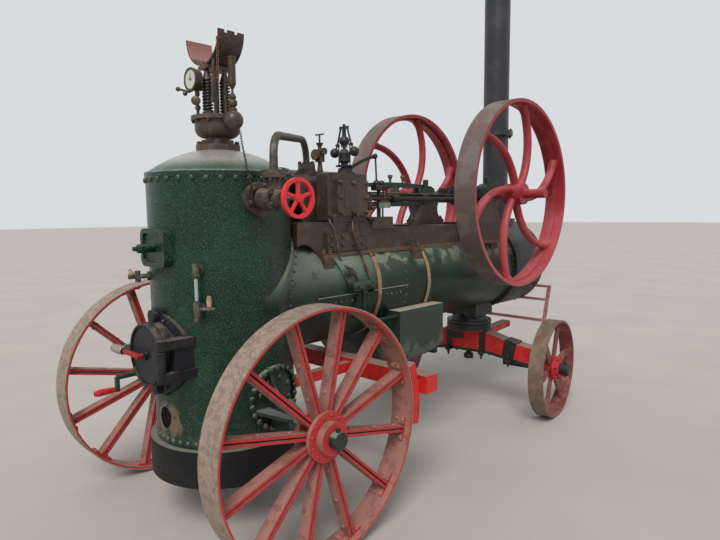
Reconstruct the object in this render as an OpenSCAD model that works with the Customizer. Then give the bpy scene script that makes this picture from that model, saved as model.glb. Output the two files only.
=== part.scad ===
// Portable steam engine on four wheels: a vertical round firebox at the rear, a horizontal
// barrel ahead of it and a single-cylinder engine on top of the barrel.
// Millimetres, +Z up with the ground at 0, +Y forward to the smokebox, +X the right-hand side.
// The origin is on the ground below the rear axle.

/* [Firebox] */
// Outer radius of the firebox shell
firebox_r = 383; // [340:1:430]
// Underside of the firebox shell
firebox_z0 = 474; // [430:1:520]
// Seam between the shell and the domed top
seam_z = 1880; // [1800:1:1950]
// Rise of the domed top above the seam
dome_h = 135; // [100:1:180]
// Shell plate with its lagging
shell_t = 60; // [40:1:80]
// Crown of the inner firebox
crown_z = 1330; // [1200:1:1400]
// Outer radius of the ash pan
ashpan_r = 417; // [400:1:450]
// Underside of the ash pan
ashpan_z0 = 283; // [240:1:330]
// Radius of the fire hole
fire_hole_r = 125; // [100:1:140]
// Height of the fire hole centre
fire_hole_z = 962; // [900:1:1000]

/* [Barrel and smokebox] */
// Radius of the barrel's rear course
barrel_r = 345; // [320:1:360]
// Height of the barrel centre line
barrel_z = 1185; // [1170:1:1200]
// Lap between the rear and front courses
course_y = 1490; // [1460:1:1540]
// Plate thickness shown at each lap
lap_t = 6; // [4:1:10]
// Rear end of the smokebox
smokebox_y0 = 2650; // [2630:1:2680]
// Front end of the smokebox
smokebox_y1 = 3120; // [3110:1:3160]
// Outer radius of the smokebox
smokebox_r = 378; // [365:1:390]
// Smokebox plate
smokebox_t = 12; // [8:1:16]
// Radius of the smokebox door opening
door_open_r = 262; // [230:1:280]

/* [Chimney] */
// Distance of the chimney centre ahead of the rear axle
chimney_y = 2900; // [2860:1:2920]
// Outer radius of the chimney
chimney_r = 110; // [100:1:125]
// Chimney plate
chimney_t = 6; // [4:1:10]
// Height of the joint where the chimney folds
fold_z = 2340; // [2320:1:2400]
// Radius of the two joint flanges
fold_flange_r = 148; // [140:1:165]
// Thickness of each joint flange
fold_flange_t = 22; // [16:1:30]
// Top of the chimney, long enough to lie in its rest when it is folded back
chimney_top_z = 5240; // [5240:1:5400]

/* [Rear wheels] */
// Radius of the rear wheels
rear_r = 620; // [600:1:640]
// Tread width of the rear wheels
rear_w = 140; // [120:1:150]
// Outer face of each rear wheel from the centre line
rear_x = 860; // [850:1:880]
// Tyre plate of the rear wheels
rear_tyre_t = 16; // [12:1:24]
// Spokes in each rear wheel
rear_spokes = 12; // [8:1:14]
// Axial width of each flat spoke bar
spoke_w = 66; // [50:1:80]
// Thickness of each flat spoke bar
spoke_bar_t = 13; // [10:1:16]
// Slit between the two bars of one spoke
spoke_slit = 9; // [6:1:12]
// Radius of the rear axle arm
rear_axle_r = 30; // [26:1:34]

/* [Fore-carriage] */
// Distance of the steering pivot ahead of the rear axle
wheelbase = 2494; // [2460:1:2520]
// Radius of the front wheels
front_r = 390; // [370:1:400]
// Tread width of the front wheels
front_w = 114; // [100:1:125]
// Outer face of each front wheel from the carriage centre
front_x = 795; // [785:1:820]
// Rim thickness of the front wheels
front_rim_t = 18; // [14:1:24]
// Spokes in each front wheel
front_spokes = 6; // [5:1:8]
// Radius of the front axle arm
front_axle_r = 26; // [22:1:30]
// Angle that the fore-carriage stands turned to the left
steer_a = 7; // [-20:1:20]
// Depth of the wooden axle bed
bed_d = 130; // [110:1:150]
// Underside of the axle bed at its middle
bed_z0 = 467; // [450:1:480]
// Top of the axle bed at its middle
bed_z1 = 635; // [620:1:650]
// Radius of the turntable
turntable_r = 190; // [170:1:210]

/* [Engine] */
// Height of the crankshaft and cylinder centre line
shaft_z = 1785; // [1775:1:1800]
// Distance of the crankshaft ahead of the rear axle
shaft_y = 2257; // [2230:1:2280]
// Radius of the crankshaft
shaft_r = 34; // [30:1:40]
// Distance of each main bearing from the centre line
bearing_x = 300; // [290:1:310]
// Width of each main bearing
bearing_w = 84; // [70:1:100]
// Throw of the crank
crank_throw = 140; // [120:1:150]
// Radius of the eccentric's sheave
eccentric_r = 70; // [70:1:80]
// Throw of the eccentric
eccentric_throw = 35; // [25:1:35]
// Half width of the engine bed
bed_half_w = 255; // [245:1:265]
// Top of the engine bed
bed_top_z = 1560; // [1540:1:1580]
// Rear end of the engine bed
bed_y0 = 330; // [320:1:350]
// Front end of the engine bed
bed_y1 = 2560; // [2540:1:2600]
// Distance of the cylinder from the centre line
cyl_x = 20; // [0:1:40]
// Outer radius of the cylinder jacket
cyl_r = 140; // [130:1:150]
// Rear face of the cylinder
cyl_y0 = 420; // [400:1:440]
// Front face of the cylinder
cyl_y1 = 980; // [940:1:1000]
// Near face of the valve chest
chest_x = 290; // [280:1:300]

/* [Flywheels] */
// Radius of the flywheels
fly_r = 700; // [670:1:720]
// Width of the flywheel rims
fly_w = 162; // [140:1:170]
// Inner face of the right-hand flywheel
fly_right_x = 475; // [465:1:490]
// Room between the smokebox and the left-hand flywheel
fly_room = 10; // [8:1:30]
// Rim thickness at its edges
fly_rim_t = 26; // [20:1:36]
// Spokes in each flywheel
fly_spokes = 6; // [5:1:8]
// Radius of the flywheel hub
fly_hub_r = 80; // [70:1:95]

/* [Brake] */
// Rear face of the brake beam
brake_y = 700; // [690:1:720]
// Depth and height of the brake beam
brake_beam_t = 100; // [80:1:110]
// Underside of the brake beam
brake_z = 664; // [640:1:690]
// Half length of the brake beam
brake_half_l = 890; // [870:1:910]

/* [Feed tank] */
// Half width of the tank slung under the barrel
tank_half_w = 400; // [380:1:420]
// Rear end of the tank
tank_y0 = 1062; // [1040:1:1090]
// Front end of the tank
tank_y1 = 1538; // [1500:1:1560]
// Top of the tank
tank_top_z = 1020; // [1000:1:1040]
// Lower edge of the tank's straight sides
tank_side_z = 745; // [720:1:780]

/* [Clearances] */
// Radial running clearance of shafts in hubs
run_gap = 0.05; // [0.02:0.01:0.1]
// Gap between faces that turn past each other
face_gap = 6; // [5:0.5:8]
// Gap at rest between a closed door and its seat
seat_gap = 0.3; // [0.2:0.1:0.5]

/* [Hidden] */
$fn = 96;

green = [0.07, 0.16, 0.12];
cast_brown = [0.24, 0.18, 0.15];
red = [0.72, 0.10, 0.09];
faded_red = [0.50, 0.26, 0.22];
iron_black = [0.08, 0.08, 0.08];
steel = [0.35, 0.34, 0.32];

eccentric_x = 182;
eccentric_w = 46;

// Derived sizes of the boiler
dome_r = (firebox_r * firebox_r + dome_h * dome_h) / (2 * dome_h);
dome_z = seam_z + dome_h;
front_course_r = barrel_r + lap_t;
course_lap = 60;
door_face_y = -firebox_r - 72;
fly_left_x = smokebox_r + fly_room;
band_y = [930, 1440];
band_w = 32;
band_t = 4;

// Turns a shape drawn in X and Y, with Z along its axle, so that the axle lies along +X
module about_x(y, z, x = 0) translate([x, y, z]) rotate([90, 0, 90]) children();
// The same for an axis along +Y: the drawn Z runs forward, the drawn Y runs down
module along_y(x, z, y = 0) translate([x, y, z]) rotate([-90, 0, 0]) children();
// A repeat around the drawn Z axis
module around(n, a0 = 0) for (i = [0 : n - 1]) rotate([0, 0, a0 + i * 360 / n]) children();
module ring(ro, ri, h) difference() {
    cylinder(r = ro, h = h);
    translate([0, 0, -1]) cylinder(r = ri, h = h + 2);
}
module both_sides() {
    children();
    mirror([1, 0, 0]) children();
}

// The outside of the boiler, grown by a gap, which cuts the seats of what rests on it
module shell_form(gap = 0) cylinder(r = firebox_r + gap, h = seam_z);
module barrel_form(gap = 0) {
    along_y(0, barrel_z, 0) cylinder(r = barrel_r + gap, h = course_y);
    along_y(0, barrel_z, course_y - course_lap - gap)
        cylinder(r = front_course_r + gap, h = smokebox_y0 - course_y + course_lap + gap);
    for (y = band_y) along_y(0, barrel_z, y - band_w / 2 - gap)
        cylinder(r = band_seat_r(y) + band_t + gap, h = band_w + 2 * gap);
}
function band_seat_r(y) = y > course_y - course_lap ? front_course_r : barrel_r;

// Firebox

module firebox_shell() color(green) {
    difference() {
        union() {
            translate([0, 0, firebox_z0]) cylinder(r = firebox_r, h = seam_z - firebox_z0);
            intersection() {
                translate([0, 0, dome_z - dome_r]) sphere(r = dome_r);
                translate([0, 0, seam_z - 1]) cylinder(r = firebox_r, h = dome_h + 10);
            }
            translate([0, 0, seam_z - 26]) cylinder(r = firebox_r + 4, h = 26);
        }
        translate([0, 0, firebox_z0 - 1])
            cylinder(r = firebox_r - shell_t, h = crown_z - firebox_z0);
        along_y(0, fire_hole_z, -firebox_r - 10) cylinder(r = fire_hole_r, h = shell_t + 60);
    }
}

ashpan_h = firebox_z0 - ashpan_z0;
ashpan_t = 12;
grate_r = firebox_r - shell_t - seat_gap;
grate_seat_r = grate_r - 20;
grate_t = 24;

module ash_pan() color(iron_black) difference() {
    translate([0, 0, ashpan_z0]) cylinder(r = ashpan_r, h = ashpan_h);
    translate([0, 0, ashpan_z0 + ashpan_t])
        cylinder(r = ashpan_r - ashpan_t, h = ashpan_h - 2 * ashpan_t);
    translate([0, 0, firebox_z0 - ashpan_t - 1]) cylinder(r = grate_seat_r, h = ashpan_t + 2);
    translate([-130, ashpan_r - 60, ashpan_z0 + 40]) cube([260, 100, 90]);
}

module fire_grate() color(iron_black) translate([0, 0, firebox_z0]) {
    ring(grate_r, grate_seat_r - 8, grate_t);
    intersection() {
        for (i = [-6 : 6]) translate([i * 45 - 9, -grate_r, 0]) cube([18, 2 * grate_r, grate_t]);
        cylinder(r = grate_r - 2, h = grate_t);
    }
}

frame_z0 = 745;
frame_z1 = 1190;
frame_r = 212;
frame_t = 20;
frame_lug_w = 112;
door_r = 158;
door_t = 28;
hinge_x = 200;
hinge_y = door_face_y - 34;
hinge_r = 11;
hinge_eye_r = 24;
hinge_lug_z = [-102, 58];
hinge_lug_h = 44;
hinge_arm_h = 100;

// A round cast frame on the shell with the drum that the door closes
module fire_door_frame() color(iron_black) {
    difference() {
        union() {
            intersection() {
                union() {
                    along_y(0, fire_hole_z, -firebox_r - 60) cylinder(r = frame_r, h = 240);
                    translate([-frame_lug_w / 2, -firebox_r - 60, frame_z0])
                        cube([frame_lug_w, 100, frame_z1 - frame_z0]);
                }
                translate([0, 0, frame_z0]) cylinder(r = firebox_r + frame_t, h = frame_z1 - frame_z0);
            }
            along_y(0, fire_hole_z, door_face_y + 14) cylinder(r = door_r + 6, h = 130);
            along_y(0, frame_z1 - 36, -firebox_r - 50) cylinder(r = 34, h = 80);
            along_y(0, frame_z0 + 26, -firebox_r - 46) cylinder(r = 26, h = 80);
            for (z = hinge_lug_z) translate([hinge_x - hinge_eye_r, hinge_y, fire_hole_z + z])
                cube([2 * hinge_eye_r, 220, hinge_lug_h]);
            translate([door_r - 3, hinge_y + 64, fire_hole_z + hinge_lug_z[0]])
                cube([hinge_x - door_r + 15, 150, hinge_lug_z[1] - hinge_lug_z[0] + hinge_lug_h]);
        }
        shell_form();
        along_y(0, fire_hole_z, door_face_y - 100) cylinder(r = fire_hole_r, h = 300);
    }
    for (z = hinge_lug_z) translate([hinge_x, hinge_y, fire_hole_z + z])
        cylinder(r = hinge_eye_r, h = hinge_lug_h);
    translate([hinge_x, hinge_y, fire_hole_z + hinge_lug_z[0]])
        cylinder(r = hinge_r, h = hinge_lug_z[1] - hinge_lug_z[0] + hinge_lug_h);
}

module fire_door() color(iron_black) {
    back_y = door_face_y + 14 - seat_gap;
    difference() {
        union() {
            along_y(0, fire_hole_z, back_y - door_t) cylinder(r = door_r, h = door_t);
            along_y(0, fire_hole_z, back_y - door_t - 8) ring(door_r, door_r - 12, 9);
            along_y(0, fire_hole_z, back_y - door_t - 14) cylinder(r = 26, h = 15);
            translate([door_r - 30, hinge_y - 12, fire_hole_z - hinge_arm_h / 2])
                cube([hinge_x - door_r + 30, 34, hinge_arm_h]);
            translate([hinge_x, hinge_y, fire_hole_z - hinge_arm_h / 2])
                cylinder(r = hinge_eye_r, h = hinge_arm_h);
        }
        translate([hinge_x, hinge_y, fire_hole_z - hinge_arm_h])
            cylinder(r = hinge_r + run_gap, h = 2 * hinge_arm_h);
    }
    color(red) {
        along_y(0, fire_hole_z, hinge_y - 30) cylinder(r = 13, h = 60);
        translate([-170, hinge_y - 26, fire_hole_z - 11]) cube([170, 16, 22]);
        about_x(hinge_y - 18, fire_hole_z, -290) cylinder(r = 17, h = 122);
    }
}

handhole_z = 1501;
handhole_t = 26;
handhole_bead_t = 12;

// A rectangle with rounded corners, centred on the drawn origin
module rounded(w, h, r) {
    square([w, h - 2 * r], center = true);
    square([w - 2 * r, h], center = true);
    for (x = [-1, 1], y = [-1, 1]) translate([x * (w / 2 - r), y * (h / 2 - r)]) circle(r = r);
}

module handhole_cover() color(green) {
    difference() {
        along_y(0, handhole_z, -firebox_r - handhole_t) linear_extrude(140) rounded(244, 194, 40);
        cylinder(r = firebox_r, h = 2000);
        along_y(0, handhole_z, -firebox_r - handhole_t - 20)
            linear_extrude(20 + handhole_bead_t) rounded(196, 146, 24);
    }
    along_y(0, handhole_z, -firebox_r - 74) cylinder(r = 22, h = 70);
    along_y(0, handhole_z, -firebox_r - 96) cylinder(r = 12, h = 40);
}

gauge_a = -50;
try_a = -112;

module water_gauge() color(cast_brown) rotate([0, 0, gauge_a]) {
    column_r = firebox_r + 50;
    difference() {
        for (z = [1210, 1400]) translate([firebox_r - 20, 0, z]) rotate([0, 90, 0]) {
            cylinder(r = 16, h = 78);
            cylinder(r = 26, h = 32);
        }
        shell_form();
    }
    translate([column_r, 0, 1175]) cylinder(r = 16, h = 64);
    translate([column_r, 0, 1372]) cylinder(r = 16, h = 60);
    translate([column_r, 0, 1230]) cylinder(r = 9, h = 160);
    translate([column_r, 0, 1210]) rotate([-90, 0, 0]) cylinder(r = 9, h = 90);
}

module try_cock() color(cast_brown) rotate([0, 0, try_a]) {
    difference() {
        translate([firebox_r - 20, 0, 1345]) rotate([0, 90, 0]) {
            cylinder(r = 13, h = 128);
            cylinder(r = 24, h = 34);
        }
        shell_form();
    }
    translate([firebox_r + 60, 0, 1315]) cylinder(r = 14, h = 60);
    translate([firebox_r + 95, -40, 1372]) rotate([-90, 0, 0]) cylinder(r = 9, h = 100);
    translate([firebox_r + 95, 0, 1340]) cylinder(r = 8, h = 34);
}

// Rear axle arms on half-round riveted brackets

hub_in_x = rear_x - rear_w - 14;
hub_out_x = rear_x + 22;
cap_gap = 5;

bracket_y = 47;
bracket_z = rear_r + 85;
bracket_r = 168;
bracket_t = 15;
web_t = 18;
boss_x = 610;
boss_r = 52;

// A round flange riveted to the shell, with a shelf and a hollowed web that carry the axle's boss
module axle_brackets() both_sides() color(green) {
    difference() {
        union() {
            intersection() {
                about_x(bracket_y, bracket_z, 200) cylinder(r = bracket_r, h = 260);
                shell_form(bracket_t);
            }
            intersection() {
                about_x(bracket_y, bracket_z, 200) ring(bracket_r, bracket_r - 14, 260);
                shell_form(2 * bracket_t);
            }
            translate([0, web_t / 2, 0]) rotate([90, 0, 0]) linear_extrude(web_t) difference() {
                polygon([[300, rear_r - 76], [boss_x, rear_r - 40], [boss_x + 30, rear_r - 40],
                    [boss_x + 30, rear_r + 50], [firebox_r + 24, rear_r + 250], [300, rear_r + 250]]);
                translate([boss_x + 36, rear_r + 290]) circle(r = 240);
            }
            translate([0, 0, rear_r + 24]) linear_extrude(web_t) polygon([[250, bracket_y - 168],
                [boss_x + 20, -boss_r + 4], [boss_x + 20, boss_r - 4], [250, bracket_y + 168]]);
            about_x(0, rear_r, boss_x) cylinder(r = boss_r, h = hub_in_x - face_gap - boss_x);
            about_x(0, rear_r, boss_x - 60) cylinder(r1 = 34, r2 = boss_r, h = 60);
        }
        shell_form();
    }
    about_x(0, rear_r, boss_x) cylinder(r = rear_axle_r, h = hub_out_x + cap_gap + 1 - boss_x);
    about_x(0, rear_r, hub_out_x + cap_gap) cylinder(r = 43, h = 40);
}

// Boiler barrel with its lap and the flange that meets the firebox

module boiler_barrel() color(green) {
    difference() {
        union() {
            along_y(0, barrel_z, 0) cylinder(r = barrel_r, h = course_y);
            along_y(0, barrel_z, course_y - course_lap)
                cylinder(r = front_course_r, h = smokebox_y0 - course_y + course_lap);
            intersection() {
                along_y(0, barrel_z, 0) cylinder(r = barrel_r + 42, h = 700);
                cylinder(r = firebox_r + 12, h = 1700);
            }
        }
        cylinder(r = firebox_r, h = 2000);
        along_y(0, barrel_z, smokebox_y0 - 60)
            for (x = [-200 : 80 : 200], z = [-160 : 80 : 160])
                translate([x, z, 0]) cylinder(r = 24, h = 80);
    }
}

module barrel_bands() color([0.62, 0.50, 0.36]) for (y = band_y)
    along_y(0, barrel_z, y - band_w / 2) ring(band_seat_r(y) + band_t, band_seat_r(y), band_w);

module smokebox() color(iron_black) {
    difference() {
        along_y(0, barrel_z, smokebox_y0) cylinder(r = smokebox_r, h = smokebox_y1 - smokebox_y0);
        along_y(0, barrel_z, smokebox_y0 + 14)
            cylinder(r = smokebox_r - smokebox_t, h = smokebox_y1 - smokebox_y0 - 28);
        along_y(0, barrel_z, smokebox_y1 - 30) cylinder(r = door_open_r, h = 60);
        along_y(0, barrel_z, smokebox_y0 - 1) cylinder(r = barrel_r - 40, h = 40);
        translate([0, chimney_y, barrel_z + 200]) cylinder(r = chimney_r - 12, h = 300);
    }
    along_y(0, barrel_z, smokebox_y0 - 14) ring(smokebox_r + 3, front_course_r, 14);
    sb_hinge_posts();
}

sb_hinge_x = -door_open_r - 52;
sb_hinge_y = smokebox_y1 + 34;

module sb_hinge_posts() for (z = [-120, 120]) {
    translate([sb_hinge_x, sb_hinge_y, barrel_z + z - 60]) cylinder(r = 10, h = 120);
    for (s = [-60, 40]) translate([sb_hinge_x, sb_hinge_y, barrel_z + z + s]) {
        cylinder(r = 20, h = 20);
        translate([-16, -38, 0]) cube([32, 38, 20]);
    }
}

module smokebox_door() color(iron_black) {
    along_y(0, barrel_z, smokebox_y1 + seat_gap) cylinder(r = door_open_r + 26, h = 14);
    along_y(0, barrel_z, smokebox_y1 + 14) cylinder(r1 = door_open_r + 14, r2 = 150, h = 34);
    for (z = [-120, 120]) difference() {
        union() {
            translate([sb_hinge_x, sb_hinge_y - 8, barrel_z + z - 18])
                cube([-sb_hinge_x, 22, 36]);
            translate([sb_hinge_x, sb_hinge_y, barrel_z + z - 18]) cylinder(r = 20, h = 36);
        }
        translate([sb_hinge_x, sb_hinge_y, barrel_z + z - 30])
            cylinder(r = 10 + run_gap, h = 60);
    }
    along_y(0, barrel_z, smokebox_y1 + 40) cylinder(r = 22, h = 50);
    translate([-90, smokebox_y1 + 62, barrel_z - 10]) cube([180, 16, 20]);
}

step_y = 3085;
step_t = 12;
step_z0 = 614;
step_z1 = 986;
step_foot_x = 386;
step_top_x = 436;
step_bar_w = 34;

// A frame of flat bars hung below the smokebox: two leaning sides, a tread and two pairs of hooks
module front_step() both_sides() color(red) translate([0, step_y + step_t, 0]) rotate([90, 0, 0])
    linear_extrude(step_t) {
        polygon([[step_foot_x, step_z0], [step_foot_x + step_bar_w, step_z0],
            [step_top_x + step_bar_w, step_z1], [step_top_x, step_z1]]);
        translate([0, 648]) square([step_foot_x + 16, 26]);
        difference() {
            union() {
                translate([150, 842]) square([step_foot_x - 110, 22]);
                translate([230, 964]) square([step_top_x - 220, 22]);
            }
            translate([0, barrel_z]) circle(r = smokebox_r + seat_gap);
        }
    }

// Chimney: a fixed base and a top that folds back over the engine

fold_y = chimney_y - fold_flange_r - 22;
fold_pin_r = 10;
chimney_foot_z = barrel_z + 250;
chimney_bore_r = chimney_r - chimney_t;
// The cast base is thicker than the plate of the chimney above it
base_bore_r = chimney_bore_r - 6;

module chimney_base() color(iron_black) {
    difference() {
        union() {
            translate([0, chimney_y, chimney_foot_z]) {
                cylinder(r = chimney_r, h = fold_z - chimney_foot_z);
                cylinder(r = chimney_r + 70, h = 160);
            }
            translate([0, chimney_y, fold_z - fold_flange_t])
                cylinder(r = fold_flange_r, h = fold_flange_t);
            for (x = [-58, 34]) {
                translate([x, fold_y - 18, fold_z - 48]) cube([24, 100, 46]);
                about_x(fold_y, fold_z, x) cylinder(r = 20, h = 24);
            }
        }
        along_y(0, barrel_z, 0) cylinder(r = smokebox_r, h = 4000);
        translate([0, chimney_y, barrel_z]) cylinder(r = base_bore_r, h = 2000);
        difference() {
            translate([0, chimney_y, barrel_z + 398]) cylinder(r = chimney_r + 90, h = 40);
            translate([0, chimney_y, barrel_z]) cylinder(r = chimney_r, h = 900);
        }
    }
    about_x(fold_y, fold_z, -58) cylinder(r = fold_pin_r, h = 116);
}

cap_h = 90;

module chimney_top() color(iron_black) {
    difference() {
        union() {
            translate([0, chimney_y, fold_z + seat_gap])
                cylinder(r = chimney_r, h = chimney_top_z - fold_z - seat_gap);
            translate([0, chimney_y, fold_z + seat_gap]) cylinder(r = fold_flange_r, h = fold_flange_t);
            translate([-26, fold_y, fold_z + seat_gap]) cube([52, 80, 22]);
            about_x(fold_y, fold_z, -26) cylinder(r = 20, h = 52);
            translate([0, chimney_y, chimney_top_z - cap_h])
                cylinder(r1 = chimney_r, r2 = chimney_r + 26, h = cap_h);
        }
        translate([0, chimney_y, fold_z - 1]) cylinder(r = chimney_bore_r, h = 4000);
        about_x(fold_y, fold_z, -40) cylinder(r = fold_pin_r + run_gap, h = 80);
    }
}

// Engine bed: a long casting that straddles the barrel

bed_step_y = cyl_y1 + 60;
bed_step_h = 50;
bed_wall = 26;
bridge_y = [1680, 1860];
foot_y = [520, 1362, 2374];
foot_half_w = 310;
bed_under_z = 1405;
bearing_pad_w = 100;
bearing_pad_l = 420;

module engine_bed() color(cast_brown) {
    difference() {
        union() {
            translate([-bed_half_w, bed_y0, bed_under_z])
                cube([2 * bed_half_w, bed_y1 - bed_y0, bed_top_z - bed_under_z]);
            translate([-bed_half_w, bed_y0, bed_top_z - 1])
                cube([2 * bed_half_w, bed_step_y - bed_y0, bed_step_h + 1]);
            translate([-bed_half_w - 22, foot_y[0] - 50, bed_under_z - 1])
                cube([2 * bed_half_w + 44, bed_y1 - foot_y[0] + 50, 22]);
            for (y = foot_y) translate([-foot_half_w, y - 50, bed_under_z - 75])
                cube([2 * foot_half_w, 100, 90]);
            for (s = [-1, 1])
                translate([s * bearing_x - bearing_pad_w / 2, shaft_y - 220, bed_under_z - 1])
                    cube([bearing_pad_w, bearing_pad_l, bed_top_z - bed_under_z + 1]);
            translate([bed_half_w - 1, 545, 1432]) cube([25, 320, 112]);
            translate([bed_half_w - 40, 940, bed_top_z - 1]) cube([62, 200, 74]);
        }
        barrel_form(seat_gap);
        cylinder(r = firebox_r + 13, h = 2200);
        about_x(bed_y0 + 45, 1372, -bed_half_w - 60) cylinder(r = 112, h = 2 * bed_half_w + 120);
        translate([-bed_half_w + bed_wall, bed_step_y + 40, bed_under_z - 5])
            cube([2 * (bed_half_w - bed_wall), bridge_y[0] - bed_step_y - 40, 300]);
        translate([-bed_half_w + bed_wall, bridge_y[1], bed_under_z - 5])
            cube([2 * (bed_half_w - bed_wall), bed_y1 - bed_wall - bridge_y[1], 300]);
    }
}

block_z0 = bed_top_z + bed_step_h;
block_top_z = shaft_z + cyl_r + 5;
// Centres and radii of the flat pads on top of the cylinder, for the steam pipe, lubricator, governor
pipe_pad = [62, 580, 56];
oil_pad = [20, 730, 20];
gov_pad = [108, 862, 46];

module cylinder_casting() color(cast_brown) {
    along_y(cyl_x, shaft_z, cyl_y0) cylinder(r = cyl_r, h = cyl_y1 - cyl_y0);
    translate([cyl_x - cyl_r, cyl_y0 + 30, block_z0])
        cube([2 * cyl_r, cyl_y1 - cyl_y0 - 60, shaft_z - block_z0]);
    for (y = [cyl_y0 - 24, cyl_y1 - 6]) along_y(cyl_x, shaft_z, y) cylinder(r = cyl_r + 12, h = 30);
    along_y(cyl_x, shaft_z, cyl_y0 - 30) cylinder(r = cyl_r - 30, h = 20);
    along_y(cyl_x, shaft_z, cyl_y1 + 23) difference() {
        cylinder(r = 46, h = gland_l);
        translate([0, 0, gland_l - 30]) cylinder(r = piston_rod_r + run_gap, h = 31);
    }
    for (pad = [pipe_pad, oil_pad, gov_pad]) translate([pad[0], pad[1], shaft_z + 60])
        cylinder(r = pad[2], h = block_top_z - shaft_z - 60);
}

chest_y0 = 600;
chest_y1 = 900;
cover_t = 24;
valve_x = 205;
valve_z = shaft_z - eccentric_throw;
gland_l = 60;
piston_rod_r = 18;
valve_rod_r = 13;

chest_top_z = shaft_z + 115;
cover_z0 = shaft_z - 139;
cover_h = 214;

module valve_chest() color(cast_brown) {
    translate([cyl_x + cyl_r, chest_y0, block_z0])
        cube([chest_x - cover_t - cyl_x - cyl_r, chest_y1 - chest_y0, chest_top_z - block_z0]);
    translate([chest_x - cover_t - 1, chest_y0 + 20, cover_z0])
        cube([cover_t + 1, chest_y1 - chest_y0 - 36, cover_h]);
    translate([cyl_x + cyl_r + 4, chest_y0 - 34, block_z0 + 10])
        cube([chest_x - cyl_x - cyl_r - 34, 36, chest_top_z - block_z0 - 20]);
    difference() {
        along_y(valve_x, valve_z, chest_y1 - 1) cylinder(r = 34, h = gland_l + 1);
        along_y(valve_x, valve_z, chest_y1 + gland_l - 30) cylinder(r = valve_rod_r + run_gap, h = 31);
    }
}

steam_leg_x = 516;
steam_leg_y = -28;
steam_pipe_r = 20;
steam_leg_h = 67;
steam_pad_leg_z = 1965;
// Bend radii over the valve and over the cylinder
steam_bend_a = 110;
steam_bend_b = 130;
valve_flange_z = 1878;
pipe_flange_t = 30;

// The pipe from the stop valve over to the top of the cylinder: two bends joined by their tangent
module steam_pipe() color(steel) {
    dx = pipe_pad[0] - steam_leg_x;
    dy = pipe_pad[1] - steam_leg_y;
    span = norm([dx, dy]);
    foot_z = block_top_z + pipe_flange_t - 2;
    leg_top = valve_flange_z + steam_leg_h;
    run = span - steam_bend_a - steam_bend_b;
    rise = steam_pad_leg_z - leg_top;
    reach = norm([run, rise]);
    grow = steam_bend_b - steam_bend_a;
    tilt = atan2(rise, run) + asin(grow / reach);
    translate([steam_leg_x, steam_leg_y, valve_flange_z + seat_gap])
        cylinder(r = steam_pipe_r + 0.6, h = steam_leg_h);
    translate([steam_leg_x, steam_leg_y, 0]) rotate([0, 0, atan2(dy, dx)]) {
        translate([steam_bend_a, 0, leg_top - 1]) rotate([90, 0, 0]) rotate([0, 0, 90 + tilt])
            rotate_extrude(angle = 90 - tilt) translate([steam_bend_a, 0]) circle(r = steam_pipe_r);
        translate([steam_bend_a, 0, leg_top - 1]) rotate([0, -tilt, 0])
            translate([-2, 0, steam_bend_a]) rotate([0, 90, 0])
                cylinder(r = steam_pipe_r + 0.6, h = sqrt(reach * reach - grow * grow) + 4);
        translate([span - steam_bend_b, 0, steam_pad_leg_z - 1]) rotate([90, 0, 0])
            rotate_extrude(angle = 90 + tilt) translate([steam_bend_b, 0]) circle(r = steam_pipe_r);
    }
    translate([pipe_pad[0], pipe_pad[1], foot_z]) {
        cylinder(r = steam_pipe_r + 0.6, h = steam_pad_leg_z - foot_z);
        translate([0, 0, -pipe_flange_t + 2]) cylinder(r = pipe_pad[2] - 4, h = pipe_flange_t);
    }
}

stop_y = steam_leg_y;
stop_z = 1740;
stop_wheel_x = 692;
stop_wheel_r = 95;

module stop_valve() color(cast_brown) {
    difference() {
        about_x(stop_y, stop_z, firebox_r - 30) cylinder(r = 85, h = 56);
        cylinder(r = firebox_r, h = 2200);
    }
    about_x(stop_y, stop_z, firebox_r + 20) cylinder(r = 44, h = 60);
    about_x(stop_y, stop_z, steam_leg_x - 92) cylinder(r = 54, h = 104);
    about_x(stop_y, stop_z, steam_leg_x + 8) cylinder(r = 62, h = 16);
    about_x(stop_y, stop_z, steam_leg_x - 40) cylinder(r = 36, h = 110);
    translate([steam_leg_x, steam_leg_y, stop_z]) cylinder(r = 32, h = valve_flange_z - stop_z - 24);
    translate([steam_leg_x, steam_leg_y, valve_flange_z - 38]) cylinder(r = 58, h = 38);
    about_x(stop_y, stop_z, steam_leg_x + 60) cylinder(r = 11, h = 135);
    color(red) about_x(stop_y, stop_z, stop_wheel_x) {
        difference() {
            translate([0, 0, -10]) cylinder(r = stop_wheel_r, h = 20);
            translate([0, 0, -12]) cylinder(r = stop_wheel_r - 17, h = 24);
        }
        around(5, 90) translate([0, -7, -6]) cube([stop_wheel_r - 9, 14, 12]);
        translate([0, 0, -14]) cylinder(r = 20, h = 32);
    }
}

bowl_r = 120;
bowl_round = 50;
bowl_z0 = dome_z + 59;
valve_deck_z = dome_z + 173;
valve_foot_r = 118;
branch_x = 150;
branch_z = dome_z + 140;
spring_y = 54;
spring_rod_h = 252;
rest_r = 150;
rest_t = 8;
rest_l = 156;
rest_z = dome_z + 590;

// A half-round trough in which the folded chimney lies
module chimney_rest() along_y(0, rest_z, -rest_l / 2) difference() {
    cylinder(r = rest_r + rest_t, h = rest_l);
    translate([0, 0, -1]) cylinder(r = rest_r, h = rest_l + 2);
    translate([-2 * rest_r, -2 * rest_r, -1]) cube([4 * rest_r, 2 * rest_r, rest_l + 2]);
    for (z = [36, 98]) translate([rest_r - 20, -1, z]) cube([40, 15, 20]);
}

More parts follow.
